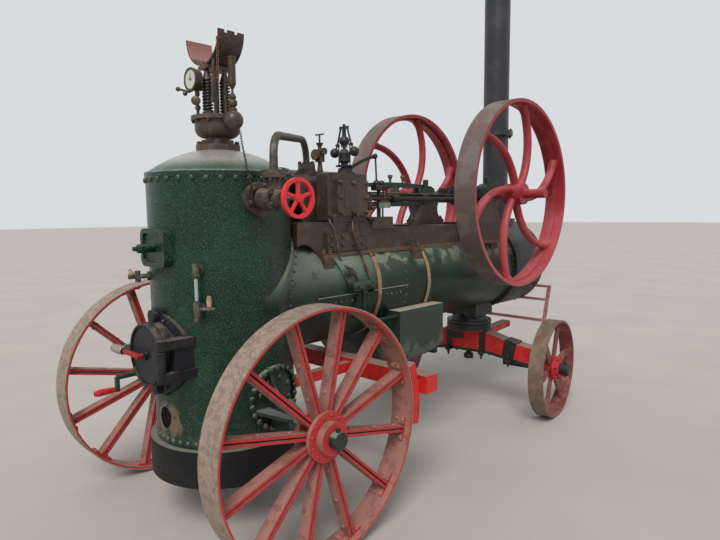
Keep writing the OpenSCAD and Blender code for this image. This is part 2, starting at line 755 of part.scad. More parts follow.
module safety_valve() color(cast_brown) {
    difference() {
        union() {
            translate([0, 0, dome_z - 30]) cylinder(r = valve_foot_r, h = 52);
            translate([0, 0, dome_z]) cylinder(r = 66, h = 80);
            translate([0, 0, bowl_z0]) rotate_extrude() difference() {
                union() {
                    square([bowl_r - bowl_round, 100]);
                    translate([0, bowl_round]) square([bowl_r, 50]);
                    translate([bowl_r - bowl_round, bowl_round]) circle(r = bowl_round);
                }
                translate([-bowl_r, -1]) square([bowl_r, 200]);
            }
            translate([0, 0, valve_deck_z - 22]) cylinder(r = bowl_r + 18, h = 22);
            about_x(0, branch_z, 60) cylinder(r = 36, h = branch_x - 60);
            translate([branch_x, 0, branch_z]) sphere(r = 52);
            translate([branch_x, 0, branch_z]) cylinder(r = 22, h = 62);
        }
        translate([0, 0, dome_z - dome_r]) sphere(r = dome_r);
    }
    translate([0, 0, valve_deck_z - 1]) {
        cylinder(r = 13, h = spring_rod_h);
        for (y = [-spring_y, spring_y]) translate([0, y, 0]) {
            cylinder(r = 30, h = 22);
            cylinder(r = 9, h = spring_rod_h);
            translate([0, 0, 192]) cylinder(r1 = 27, r2 = 13, h = 46);
            translate([0, 0, 10]) cylinder(r = 19, h = 190);
        }
        for (x = [-34, 34], y = [-30, 30]) translate([x, y, 0]) cylinder(r = 8, h = spring_rod_h);
        translate([-46, -78, spring_rod_h - 8]) cube([92, 156, 18]);
    }
    chimney_rest();
}

gauge_y = -104;
gauge_z = dome_z + 355;

module pressure_gauge() color(cast_brown) {
    translate([-20, gauge_y, valve_deck_z]) cylinder(r = 8, h = gauge_z - valve_deck_z - 40);
    translate([-20, gauge_y, valve_deck_z + 40]) sphere(r = 15);
    along_y(-20, gauge_z, gauge_y - 36) cylinder(r = 56, h = 38);
    along_y(-20, gauge_z, gauge_y - 42) ring(60, 50, 14);
    translate([-32, gauge_y - 4, gauge_z - 52]) cube([24, 30, 30]);
}

module whistle() color(cast_brown) translate([branch_x, 0, branch_z + 62 + seat_gap]) {
    cylinder(r = 12, h = 50);
    translate([0, 0, 26]) sphere(r = 24);
    translate([0, 0, 46]) cylinder(r1 = 15, r2 = 20, h = 12);
    translate([0, 0, 57]) cylinder(r1 = 20, r2 = 8, h = 20);
    translate([0, 0, 75]) cylinder(r = 6, h = 34);
    translate([0, 0, 100]) cylinder(r1 = 9, r2 = 20, h = 24);
    translate([0, 0, 123]) cylinder(r = 20, h = 128);
    translate([0, 0, 250]) cylinder(r = 23, h = 12);
}

// Governor: a fixed stand with a spinning head

gov_x = gov_pad[0];
gov_y = gov_pad[1];
gov_spindle_r = 9;
head_z = block_top_z + 124;
yoke_z = block_top_z + 262;
collar_z = 24;

module governor_stand() color(cast_brown) translate([gov_x, gov_y, block_top_z]) {
    cylinder(r = 42, h = 14);
    translate([0, 0, 12]) cylinder(r = 24, h = 36);
    translate([0, 0, 46]) cylinder(r1 = 24, r2 = 38, h = 12);
    translate([0, 0, 57]) cylinder(r = 38, h = 54);
    translate([0, 0, 110]) cylinder(r1 = 38, r2 = 20, h = 26);
    cylinder(r = gov_spindle_r, h = yoke_z - block_top_z + 30);
}

ball_x = 88;
joint_x = 62;
collar_x = 50;
joint_z = head_z + 38;
ball_z = head_z - 8;

// The spinning head: a sleeve with a bulb, two bent arms with balls, and thin rods to a collar
module governor_head() color(iron_black) translate([gov_x, gov_y, 0]) difference() {
    union() {
        translate([0, 0, head_z + 22]) cylinder(r = 20, h = 20);
        translate([0, 0, head_z + 62]) sphere(r = 33, $fn = 48);
        translate([0, 0, head_z + 80]) cylinder(r = 13, h = yoke_z - head_z - 78);
        translate([-34, -10, yoke_z]) cube([68, 20, 16]);
        translate([0, 0, block_top_z + collar_z]) cylinder(r = 56, h = 10);
        for (s = [-1, 1]) {
            arm([s * 29, yoke_z + 8], [s * (joint_x + 1), joint_z - 3], 6);
            arm([s * (joint_x - 1), joint_z + 4], [s * ball_x, ball_z], 5);
            translate([s * ball_x, 0, ball_z]) rotate([90, 0, 0]) sphere(r = 31, $fn = 48);
            translate([s * joint_x, 9, joint_z]) rotate([90, 0, 0]) cylinder(r = 10, h = 18);
            translate([s * collar_x, 0, block_top_z + collar_z + 5])
                cylinder(r = 4, h = joint_z - block_top_z - collar_z - 6);
            translate([s * (collar_x + 4) - 10, -5, joint_z - 7]) cube([20, 10, 11]);
        }
    }
    cylinder(r = gov_spindle_r + run_gap, h = 3000);
    translate([0, 0, block_top_z + collar_z - 1]) cylinder(r = 30, h = 12);
}

// A round rod in the XZ plane between two points
module arm(a, b, r) translate([a[0], 0, a[1]])
    rotate([0, atan2(b[0] - a[0], b[1] - a[1]), 0]) cylinder(r = r, h = norm(b - a));

module lubricator() color([0.42, 0.33, 0.2]) translate([oil_pad[0], oil_pad[1], block_top_z]) {
    cylinder(r1 = 19, r2 = 12, h = 56);
    translate([0, 0, 54]) cylinder(r = 30, h = 76);
    translate([0, 0, 129]) cylinder(r = 12, h = 22);
    translate([0, 0, 150]) cylinder(r1 = 14, r2 = 24, h = 22);
    translate([0, 0, 171]) cylinder(r = 6, h = 52);
    translate([-34, -6, 220]) cube([68, 12, 8]);
    along_y(0, 96, -46) cylinder(r = 34, h = 18);
    translate([0, 0, 116]) rotate([90, 0, 78]) {
        translate([0, 0, 44]) cylinder(r = 22, h = 14);
        translate([0, 0, 24]) cylinder(r = 8, h = 22);
    }
}

guide_y0 = cyl_y1 + 23 + gland_l;
guide_y1 = 1800;
guide_gap = 52;
guide_t = 24;
guide_w = 76;
guide_arc_r = 4400;
cup_y = [1413, 1554];
post_y = (bridge_y[0] + bridge_y[1]) / 2;
post_neck = 100;
post_flank_r = 110;
crosshead_y = 1420;
pin_r = 32;
rod_l = shaft_y - crank_throw - crosshead_y;

module guide_bar() translate([cyl_x - guide_w / 2, 0, 0]) rotate([90, 0, 90]) linear_extrude(guide_w)
    intersection() {
        translate([guide_y0 - 10, guide_gap]) square([guide_y1 - guide_y0 + 50, guide_t + 14]);
        translate([(guide_y0 + guide_y1) / 2, guide_gap + guide_t + 10 - guide_arc_r])
            circle(r = guide_arc_r, $fn = 360);
    }

module crosshead_guides() color(green) {
    translate([0, 0, shaft_z]) {
        guide_bar();
        mirror([0, 0, 1]) guide_bar();
    }
    translate([cyl_x - 46, guide_y0, shaft_z - guide_gap - guide_t])
        difference() {
            cube([92, 30, 2 * (guide_gap + guide_t)]);
            translate([46, -1, guide_gap + guide_t]) rotate([-90, 0, 0])
                cylinder(r = piston_rod_r + run_gap, h = 32);
        }
    guide_post();
    for (s = [-1, 1])
        translate([cyl_x + s * (guide_w / 2 + 8) - 10, post_y - 22, shaft_z - guide_gap - guide_t])
            cube([20, 44, 2 * guide_gap + 2 * guide_t]);
    for (z = [-guide_gap - guide_t - 4, guide_gap])
        translate([cyl_x - guide_w / 2 - 18, post_y - 22, shaft_z + z]) cube([guide_w + 36, 44, guide_t + 4]);
    for (y = cup_y) translate([cyl_x, y, shaft_z + guide_gap + guide_t]) {
        cylinder(r = 8, h = 50);
        translate([0, 0, 34]) cylinder(r1 = 10, r2 = 18, h = 16);
        translate([0, 0, 49]) cylinder(r = 18, h = 16);
    }
}

// The brown post with hollowed flanks that carries the far ends of the guides
module guide_post() color(cast_brown) about_x(post_y, bed_top_z, cyl_x - guide_w / 2 - 16)
    linear_extrude(guide_w + 32) difference() {
        translate([bridge_y[0] - post_y, 0])
            square([bridge_y[1] - bridge_y[0], shaft_z - guide_gap - guide_t - bed_top_z + 2]);
        for (m = [-1, 1]) translate([m * (post_neck / 2 + post_flank_r), 18 + post_flank_r])
            circle(r = post_flank_r);
        for (m = [-1, 1]) translate([m * (post_neck / 2 + 60) - 60, 18 + post_flank_r])
            square([120, 200]);
    }

module crosshead() color(steel) {
    along_y(cyl_x, shaft_z, cyl_y1 + 23 + gland_l - 20)
        cylinder(r = piston_rod_r, h = crosshead_y - cyl_y1 - 23 - gland_l - 30);
    translate([cyl_x - 30, crosshead_y - 62, shaft_z - guide_gap + 1]) difference() {
        cube([60, 124, 2 * guide_gap - 2]);
        translate([12, 34, 14]) cube([36, 100, 2 * guide_gap - 30]);
    }
    about_x(crosshead_y + 18, shaft_z, cyl_x - 40) cylinder(r = 16, h = 80);
}

// The rod from the crosshead's pin to the crank pin at its rear dead centre
module connecting_rod() color(steel) {
    difference() {
        union() {
            about_x(crosshead_y + 18, shaft_z, cyl_x - 17) cylinder(r = 30, h = 34);
            along_y(cyl_x, shaft_z, crosshead_y + 40) cylinder(r1 = 14, r2 = 20, h = rod_l - 80);
            translate([cyl_x - 28, shaft_y - crank_throw - 70, shaft_z - 58]) cube([56, 132, 116]);
        }
        about_x(crosshead_y + 18, shaft_z, cyl_x - 60) cylinder(r = 16 + run_gap, h = 120);
        about_x(shaft_y - crank_throw, shaft_z, cyl_x - 60) cylinder(r = pin_r + run_gap, h = 120);
    }
}

module valve_rod() color(steel) {
    along_y(valve_x, valve_z, chest_y1 + gland_l - 20)
        cylinder(r = valve_rod_r, h = 1230 - chest_y1 - gland_l + 20);
    along_y(valve_x, valve_z, 1210) cylinder(r = 26, h = 60);
    along_y(valve_x, valve_z, 1260) cylinder(r = 17, h = shaft_y - eccentric_r - 10 - 1260);
    about_x(shaft_y, valve_z, eccentric_x) ring(eccentric_r + 24, eccentric_r + run_gap, eccentric_w);
}

cap_w = 150;

// Pedestals with hollowed flanks, a bored head and a cap held by two studs
module main_bearings() for (s = [-1, 1]) color(green) about_x(shaft_y, 0, s * bearing_x - bearing_w / 2)
    difference() {
        linear_extrude(bearing_w) difference() {
            union() {
                translate([-210, bed_top_z]) square([420, 28]);
                translate([-170, bed_top_z]) square([340, shaft_z - bed_top_z - 8]);
                translate([0, shaft_z]) circle(r = 88);
                translate([-cap_w / 2 - 24, shaft_z - 40]) square([cap_w + 48, 66]);
            }
            for (m = [-1, 1]) translate([m * 205, shaft_z - 107]) circle(r = 90);
        }
        translate([0, shaft_z, -1]) cylinder(r = shaft_r + run_gap, h = bearing_w + 2);
    }

module crank_web(x) about_x(0, 0, x) linear_extrude(web_w) {
    translate([shaft_y, shaft_z]) circle(r = 60);
    translate([shaft_y - crank_throw, shaft_z]) circle(r = 50);
    translate([shaft_y - crank_throw, shaft_z - 48]) square([crank_throw, 96]);
    translate([shaft_y, shaft_z - 75]) square([80, 150]);
}

web_w = 30;
web_gap = 31;

// The middle of the crankshaft between the two main bearings, with its webs, pin and eccentric
module crank() color(steel) {
    half = bearing_x - 2;
    about_x(shaft_y, shaft_z, -half) cylinder(r = shaft_r, h = half + cyl_x - web_gap - 5);
    about_x(shaft_y, shaft_z, cyl_x + web_gap + 5) cylinder(r = shaft_r, h = half - cyl_x - web_gap - 5);
    for (x = [cyl_x - web_gap - web_w, cyl_x + web_gap]) crank_web(x);
    about_x(shaft_y - crank_throw, shaft_z, cyl_x - web_gap - 5) cylinder(r = pin_r, h = 2 * web_gap + 10);
    about_x(shaft_y, valve_z, eccentric_x) cylinder(r = eccentric_r, h = eccentric_w);
}

// Flywheels on the two outer ends of the crankshaft, which turn as one

spoke_r = 25;
spoke_phase = 40;

module fly_spoke() {
    r0 = fly_hub_r - 8;
    r1 = fly_r - fly_rim_t - 6;
    bend = 520;
    sweep = 42;
    a = [r0, 0];
    b = [r1 * cos(sweep), r1 * sin(sweep)];
    half = norm(b - a) / 2;
    mid = (a + b) / 2;
    dir = (b - a) / norm(b - a);
    centre = mid + sqrt(bend * bend - half * half) * [-dir[1], dir[0]];
    a0 = atan2(a[1] - centre[1], a[0] - centre[0]);
    a1 = atan2(b[1] - centre[1], b[0] - centre[0]);
    translate([centre[0], centre[1], 0]) rotate([0, 0, a0])
        rotate_extrude(angle = a1 - a0 < 0 ? a1 - a0 + 360 : a1 - a0) translate([bend, 0])
            scale([1, 1.3]) circle(r = spoke_r, $fn = 32);
    translate([centre[0], centre[1], 0]) rotate([0, 0, a1]) translate([bend, -90, 0]) rotate([-90, 0, 0])
        cylinder(r1 = spoke_r, r2 = 46, h = 116);
}

module flywheel() {
    ring(fly_r, fly_r - fly_rim_t, fly_w);
    translate([0, 0, fly_w / 2 - 20]) ring(fly_r - 2, fly_r - fly_rim_t - 16, 40);
    translate([0, 0, fly_w / 2]) intersection() {
        around(fly_spokes, spoke_phase) fly_spoke();
        translate([0, 0, -fly_w / 2]) cylinder(r = fly_r - 6, h = fly_w);
    }
    translate([0, 0, 6]) cylinder(r = fly_hub_r, h = fly_w - 12);
}

shaft_end_x = 800;
shaft_gap = 4;

module flywheel_right() color(red) {
    about_x(shaft_y, shaft_z, fly_right_x) flywheel();
    about_x(shaft_y, shaft_z, bearing_x + shaft_gap / 2)
        cylinder(r = shaft_r, h = shaft_end_x - bearing_x - shaft_gap / 2);
}

module flywheel_left() color(red) {
    about_x(shaft_y, shaft_z, -fly_left_x - fly_w) flywheel();
    about_x(shaft_y, shaft_z, -fly_left_x - fly_w - 60)
        cylinder(r = shaft_r, h = fly_left_x + fly_w + 60 - bearing_x - shaft_gap / 2);
}

// Feed-water tank slung under the barrel

tank_bottom_r = 540;
tank_axis_z = tank_side_z + sqrt(tank_bottom_r * tank_bottom_r - tank_half_w * tank_half_w);
tank_floor_z = tank_axis_z - tank_bottom_r - 10;

module feed_tank() color(green) difference() {
    intersection() {
        translate([-tank_half_w, tank_y0, tank_floor_z])
            cube([2 * tank_half_w, tank_y1 - tank_y0, tank_top_z - tank_floor_z]);
        along_y(0, tank_axis_z, tank_y0 - 10) cylinder(r = tank_bottom_r, h = tank_y1 - tank_y0 + 20);
    }
    barrel_form(seat_gap);
}

pump_x = 358;
pump_z = 1216;
pump_y0 = 650;
pump_y1 = 828;

// A plate that hugs the barrel, with a horizontal pump barrel along its lower edge
module feed_pump() color(green) {
    difference() {
        union() {
            intersection() {
                along_y(0, barrel_z, 400) cylinder(r = barrel_r + 16, h = 500);
                translate([150, 0, 0]) rotate([90, 0, 90]) linear_extrude(300)
                    polygon([[foot_y[0] + 51, 1403], [610, 1403], [700, 1290], [812, 1262], [812, 1190],
                        [690, 1180], [648, 1204]]);
            }
            along_y(pump_x, pump_z, pump_y0) cylinder(r = 34, h = pump_y1 - pump_y0);
            along_y(pump_x, pump_z, pump_y1 - 14) cylinder(r = 43, h = 20);
            along_y(pump_x, pump_z, pump_y1 + 4) cylinder(r = 24, h = 22);
            about_x(653, 1302, 280) cylinder(r = 24, h = 76);
        }
        barrel_form(seat_gap);
    }
    translate([pump_x + 18, 744, 985]) cylinder(r = 13, h = pump_z - 985);
    along_y(pump_x + 18, 992, 744) cylinder(r = 12, h = tank_y0 - seat_gap - 744);
    translate([pump_x + 18, 744, 992]) sphere(r = 17);
}

// Turntable and fore-carriage

saddle_z = bed_z1 + 60;
pivot_r = 24;
eye_r = 14;

module steered() translate([0, wheelbase, 0]) rotate([0, 0, steer_a]) children();

module turntable_saddle() color(green) {
    difference() {
        union() {
            translate([0, wheelbase, saddle_z]) cylinder(r = turntable_r, h = 26);
            translate([0, wheelbase, saddle_z + 25]) cylinder(r1 = turntable_r - 30, r2 = 130, h = 60);
            translate([-150, wheelbase - 130, saddle_z + 70]) cube([300, 260, 120]);
        }
        barrel_form(seat_gap);
        along_y(0, barrel_z, smokebox_y0 - 14 - seat_gap) cylinder(r = smokebox_r + 3 + seat_gap, h = 600);
    }
    translate([0, wheelbase, bed_z0 - 60]) cylinder(r = pivot_r, h = saddle_z - bed_z0 + 61);
    translate([0, wheelbase, bed_z0 - 100]) cylinder(r = 42, h = 40);
}

bed_outline = [
    [-600, 400], [-420, 432], [-190, bed_z0], [190, bed_z0], [420, 432], [600, 400],
    [600, 535], [450, 555], [340, 582], [150, bed_z1], [-150, bed_z1], [-340, 582], [-450, 555], [-600, 535]];

module axle_bed() color(red) steered() {
    difference() {
        union() {
            translate([0, bed_d / 2, 0]) rotate([90, 0, 0]) linear_extrude(bed_d) polygon(bed_outline);
            translate([0, 0, bed_z1 - 1]) cylinder(r = turntable_r, h = saddle_z - bed_z1 + 1 - face_gap);
            for (s = [-1, 1]) translate([s * 120 - 40, -60, bed_z1 - 60]) cube([80, 600, 55]);
        }
        about_x(510, bed_z1 - 32.5, -200) cylinder(r = eye_r, h = 400);
        translate([0, 0, bed_z0 - 100]) cylinder(r = pivot_r + run_gap, h = 500);
        both_sides() axle_bar();
    }
}

front_hub_in = front_x - front_w - 20;
front_hub_out = front_x + 10;

axle_bar_t = 56;
axle_bar_x = 330;

module axle_bar() translate([axle_bar_x, -axle_bar_t / 2, front_r - axle_bar_t / 2])
    cube([front_hub_in - face_gap - axle_bar_x, axle_bar_t, axle_bar_t]);

module front_axle() color(iron_black) steered() both_sides() {
    about_x(0, front_r, front_hub_in - 60)
        cylinder(r = front_axle_r, h = front_hub_out - front_hub_in + 60 + cap_gap + 1);
    axle_bar();
    about_x(0, front_r, front_hub_out + cap_gap) cylinder(r = 48, h = 66);
}

module front_wheel() {
    difference() {
        union() {
            ring(front_r, front_r - front_rim_t, front_w);
            translate([0, 0, front_w / 2 - 9]) around(front_spokes, 10) linear_extrude(18)
                polygon([[50, -27], [front_r - 8, -34], [front_r - 8, 34], [50, 27]]);
            translate([0, 0, -20]) cylinder(r = 66, h = front_w + 30);
            translate([0, 0, front_w - 30]) cylinder(r = 98, h = 16);
        }
        translate([0, 0, -100]) cylinder(r = front_axle_r + run_gap, h = 400);
    }
}

module front_wheel_right() color(faded_red) steered() about_x(0, front_r, front_x - front_w) front_wheel();
module front_wheel_left() color(faded_red) steered() mirror([1, 0, 0])
    about_x(0, front_r, front_x - front_w) front_wheel();

// Rear wheels: twelve spokes, each a pair of flat bars with turned feet

module rear_wheel() {
    rim_in = rear_r - rear_tyre_t;
    difference() {
        union() {
            ring(rear_r, rim_in, rear_w);
            translate([0, 0, rear_w / 2 - spoke_w / 2]) around(rear_spokes, 17) {
                for (s = [-1, 1]) translate([70, s * (spoke_slit + spoke_bar_t) / 2 - spoke_bar_t / 2, 0])
                    cube([rim_in - 74, spoke_bar_t, spoke_w]);
                rotate([0, 0, -6]) rotate_extrude(angle = 12)
                    translate([rim_in - 12, 0]) square([13, spoke_w]);
            }
            translate([0, 0, -14]) cylinder(r = 78, h = rear_w + 38);
            translate([0, 0, rear_w / 2 - spoke_w / 2 - 20]) cylinder(r = 122, h = 22);
            translate([0, 0, rear_w / 2 + spoke_w / 2 - 2]) cylinder(r = 122, h = 22);
        }
        translate([0, 0, -100]) cylinder(r = rear_axle_r + run_gap, h = 400);
    }
}

module rear_wheel_right() color(faded_red) about_x(0, rear_r, rear_x - rear_w) rear_wheel();
module rear_wheel_left() color(faded_red) mirror([1, 0, 0]) about_x(0, rear_r, rear_x - rear_w) rear_wheel();

// Brake: a beam across the frame with a shoe for each rear wheel

module brake_beam() color(red) {
    translate([-brake_half_l, brake_y, brake_z]) cube([2 * brake_half_l, brake_beam_t, brake_beam_t]);
    both_sides() {
        about_x(0, rear_r, rear_x - rear_w + 4) rotate([0, 0, -10]) rotate_extrude(angle = 30)
            translate([rear_r + 8, 0]) square([50, rear_w - 8]);
        translate([rear_x - rear_w + 20, rear_r + 30, brake_z + 10])
            cube([100, brake_y - rear_r - 10, 60]);
        difference() {
            translate([250, 200, brake_z + 20]) cube([50, brake_y - 190, 60]);
            cylinder(r = firebox_r, h = 2200);
        }
    }
}

spindle_x = -590;
spindle_z = rear_r + 87;
crank_y = -370;
crank_arm = 85;
crank_grip_y = -504;
guide_arm_y = -196;

// The brake's hand crank, its long spindle and the bracket that carries it on the shell
module brake_spindle() color(green) {
    along_y(spindle_x, spindle_z, crank_y) cylinder(r = 16, h = brake_y - crank_y);
    translate([spindle_x - 14, crank_y - 10, spindle_z - crank_arm]) cube([28, 20, crank_arm]);
    along_y(spindle_x, spindle_z - crank_arm + 14, crank_grip_y)
        cylinder(r = 15, h = crank_y - crank_grip_y);
    difference() {
        union() {
            translate([spindle_x - 24, guide_arm_y, spindle_z - 26]) cube([260, 40, 52]);
            translate([spindle_x, guide_arm_y, spindle_z - 26]) cube([360, 40, 20]);
        }
        shell_form();
    }
}

firebox_shell();
ash_pan();
fire_grate();
fire_door_frame();
fire_door();
handhole_cover();
water_gauge();
try_cock();
axle_brackets();
boiler_barrel();
barrel_bands();
smokebox();
smokebox_door();
front_step();
chimney_base();
chimney_top();
engine_bed();
cylinder_casting();  // cylinder
valve_chest();
steam_pipe();
stop_valve();
safety_valve();
pressure_gauge();
whistle();
governor_stand();
governor_head();
lubricator();
crosshead_guides();
crosshead();
connecting_rod();
valve_rod();
main_bearings();
crank();
flywheel_right();
flywheel_left();
feed_tank();
feed_pump();
turntable_saddle();
axle_bed();
front_axle();
front_wheel_right();
front_wheel_left();
rear_wheel_right();
rear_wheel_left();
brake_beam();
brake_spindle();
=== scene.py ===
"""Portable steam engine: its paint, castings and fittings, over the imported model."""

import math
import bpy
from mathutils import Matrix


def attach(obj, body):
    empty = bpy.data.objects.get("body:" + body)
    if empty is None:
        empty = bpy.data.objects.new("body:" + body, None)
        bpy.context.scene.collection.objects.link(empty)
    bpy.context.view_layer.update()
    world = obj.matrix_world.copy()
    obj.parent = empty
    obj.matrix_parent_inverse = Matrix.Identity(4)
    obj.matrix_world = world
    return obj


bl_info = {
    "name": "Portable Steam Engine",
    "version": (1, 0, 0),
    "blender": (4, 5, 0),
    "location": "3D View > Sidebar > Steam Engine",
    "description": "Dresses the packed frame of a portable steam engine and lights it",
    "category": "Object",
}

from functools import cache

import bpy
import numpy as np
from bpy.props import FloatProperty, FloatVectorProperty, PointerProperty
from bpy.types import NodeSocket, Operator, Panel, PropertyGroup, Scene
from mathutils import Matrix, Vector

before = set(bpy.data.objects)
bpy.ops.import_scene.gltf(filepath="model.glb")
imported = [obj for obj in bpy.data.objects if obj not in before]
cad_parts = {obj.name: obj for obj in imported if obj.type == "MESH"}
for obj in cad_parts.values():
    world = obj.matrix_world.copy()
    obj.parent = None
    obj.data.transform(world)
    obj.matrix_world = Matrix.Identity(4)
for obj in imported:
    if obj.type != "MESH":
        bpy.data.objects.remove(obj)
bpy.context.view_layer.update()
ROOT = "boiler_and_engine"

# Places, in metres, as in part.scad: +X is the near side, +Y the front, and the rear axle is over the origin
NEAR, FORE, UP = (1.0, 0.0, 0.0), (0.0, 1.0, 0.0), (0.0, 0.0, 1.0)
AFT, DOWN = (0.0, -1.0, 0.0), (0.0, 0.0, -1.0)
SHELL_R, SEAM_Z, DOME_Z = 0.383, 1.88, 2.015
BARREL_R, COURSE_R, BARREL_Z = 0.345, 0.351, 1.185
SMOKEBOX_R, SMOKEBOX_Y0, SMOKEBOX_Y1 = 0.378, 2.65, 3.12
CHIMNEY_Y, FOLD_Z = 2.9, 2.34
REAR_R, REAR_W, REAR_X = 0.62, 0.14, 0.86
FRONT_R, FRONT_W, FRONT_X, WHEELBASE = 0.39, 0.114, 0.795, 2.494
STEER = math.radians(7)
SHAFT_Y, SHAFT_Z, FLY_R = 2.257, 1.785, 0.7
CHEST_X, CHEST_Y, CHEST_Z = 0.29, 0.752, 1.753
VALVE_DECK_Z = DOME_Z + 0.173
DIAL = np.array([-0.02, -0.1415, 2.37])
STOP_Y, STOP_Z = -0.028, 1.74
BAND_YS = (0.93, 1.44)
BRACKET = (0.0, 0.047, REAR_R + 0.085)
FIRE_HOLE_Z, HANDHOLE_Z = 0.962, 1.501
MUD_HOLE, MUD_HALO = (0.014, -SHELL_R, 0.617), (0.036, -SHELL_R, 0.6)
GAUGE_OUT, GAUGE_TURN, TRY_COCK_OUT, TRY_COCK_TURN = 0.433, -50, 0.478, -112
SPOKES, FIRST_SPOKE, SPOKE_T, FOOT_TURN = 12, 17, 0.035, 4.6

# Axles, and treads as a line's direction, a point on it, and the low and high distance from it
FRONT_LINE = (math.cos(STEER), math.sin(STEER), 0.0)
REAR_AXLE, FRONT_AXLE = (0.0, 0.0, REAR_R), (0.0, WHEELBASE, FRONT_R)
REAR_TREAD = (NEAR, REAR_AXLE, REAR_R - 0.006, None)
FRONT_TREAD = (FRONT_LINE, FRONT_AXLE, FRONT_R - 0.005, None)
FLY_TREAD = (NEAR, (0.0, SHAFT_Y, SHAFT_Z), FLY_R - 0.003, None)

# The stage and the camera that fits the photograph's wheels, boiler and chimney
FLOOR_MIDDLE, FLOOR_R = (0.0, 1.3, 0.0), 60
FLOOR_CLOUD_MM = 1000 / 1.2
SUN_RAY, SUN_SPREAD = (-0.42, 0.62, -0.85), math.radians(28)
CAMERA_AT = (2.7658, -1.7944, 1.6919)
HEADING, DIP, ROLL = math.radians(43.6), math.radians(6.13), math.radians(-0.568)
FOCUS_PX, PHOTO_WIDTH_PX, SENSOR_MM = 578.63, 720, 36.0

# What all finishes share: soft edges of zones, how the tones change over, and the shade of the grain
NORMAL_BLUR, PATCH_BLUR, SPECK_BLUR = 0.08, 0.03, 0.05
WORN_FROM, WORN_TO = 0.5, 0.6
DUST_TILT, DUST_FROM, DUST_TO = 0.55, 0.35, 0.62
ROUGH_FROM, ROUGH_TO, COAT_ROUGHNESS = 0.35, 0.65, 0.25
GRAIN_SHADE = (0.3, 0.7, 0.82, 1.14)
SHARP_EDGE = math.radians(38)


# Colour and nodes
def hue(code):
    """An sRGB hex colour as linear light: up to 0.04045 a part is divided by 12.92, and above that 0.055 is
    added, the sum divided by 1.055 and raised to the power 2.4."""
    parts = [int(code[i : i + 2], 16) / 255 for i in (1, 3, 5)]
    return [c / 12.92 if c <= 0.04045 else ((c + 0.055) / 1.055) ** 2.4 for c in parts] + [1.0]


def feed(tree, node, put):
    """Links or sets each socket of the node that put names or numbers."""
    for key, value in put.items():
        if isinstance(value, NodeSocket):
            tree.links.new(value, node.inputs[key])
        else:
            node.inputs[key].default_value = value


def add(tree, kind, settings=None, put=None):
    """Adds a node, sets its properties and feeds its sockets."""
    made = tree.nodes.new(kind)
    for key, value in (settings or {}).items():
        setattr(made, key, value)
    feed(tree, made, put or {})
    return made


def sums(tree, operation, *values):
    """The result of one sum."""
    return add(tree, "ShaderNodeMath", {"operation": operation}, dict(enumerate(values))).outputs[0]


def vectors(tree, operation, put):
    """The outputs of one sum on vectors: the vector first, then the number."""
    return add(tree, "ShaderNodeVectorMath", {"operation": operation}, put).outputs


def noise(tree, place, size, detail, **more):
    """Noise on the place, its spots so many mm across."""
    put = {0: place["Object"], "Scale": 1000 / size, "Detail": detail, **more}
    return add(tree, "ShaderNodeTexNoise", put=put).outputs[0]


def ranged(tree, value, low, high, least, most):
    """The value's share of the way from low to high, as a number between least and most."""
    return add(tree, "ShaderNodeMapRange", put={0: value, 1: low, 2: high, 3: least, 4: most}).outputs[0]


def step(tree, value, lo, hi):
    """0 below lo, 1 above hi, smooth between; falling where hi is the lower."""
    flip = lo > hi
    put = {0: value, 1: min(lo, hi), 2: max(lo, hi), 3: float(flip), 4: float(not flip)}
    return add(tree, "ShaderNodeMapRange", {"interpolation_type": "SMOOTHSTEP"}, put).outputs[0]


def laid(tree, mask, below, above):
    """The one colour, with the other laid over it by the mask."""
    return add(tree, "ShaderNodeMix", {"data_type": "RGBA"}, {0: mask, 6: below, 7: above}).outputs[2]


def zone(tree, place, soft=0.002, **limits):
    """1 inside the zone, 0 outside: the product of a step for each limit, soft being half its width.

    x, y, z limit the place, nx, ny the size of the normal's part, nz that part itself, and patch keeps what
    a noise of so many mm has over a share. round has a line's unit direction, a point on it, and limits of
    the distance from it: the length of the cross product of the direction and the place less the point."""
    spot = add(tree, "ShaderNodeSeparateXYZ", put={0: place["Object"]}).outputs
    turn = add(tree, "ShaderNodeSeparateXYZ", put={0: place["Normal"]}).outputs
    total = None
    for key, limit in limits.items():
        low, high = limit[-2:]
        blur = soft
        if key == "patch":
            value, low, high, blur = noise(tree, place, limit[0], 8.0), limit[1], None, PATCH_BLUR
        elif key == "round":
            moved = vectors(tree, "SUBTRACT", {0: place["Object"], 1: limit[1]})[0]
            crossed = vectors(tree, "CROSS_PRODUCT", {0: moved, 1: limit[0]})[0]
            value = vectors(tree, "LENGTH", {0: crossed})[1]
        elif key[0] == "n":
            value, blur = turn["xyz".index(key[1])], NORMAL_BLUR
            if key != "nz":
                value = sums(tree, "ABSOLUTE", value)
        else:
            value = spot["xyz".index(key)]
        for edge, way in ((low, 1), (high, -1)):
            if edge is not None:
                part = step(tree, value, edge - way * blur, edge + way * blur)
                total = part if total is None else sums(tree, "MULTIPLY", total, part)
    return total


def tinted(tree, place, colour, zones):
    """The colour with each zone's own colour laid over it by the zone's strength."""
    for code, limits, strength in zones:
        mask = sums(tree, "MULTIPLY", zone(tree, place, **limits), strength)
        colour = laid(tree, mask, colour, hue(code))
    return colour


def new_material(name):
    """A new material with its node tree and its shader."""
    material = bpy.data.materials.new(name)
    material.use_nodes = True
    return material, material.node_tree, material.node_tree.nodes["Principled BSDF"]


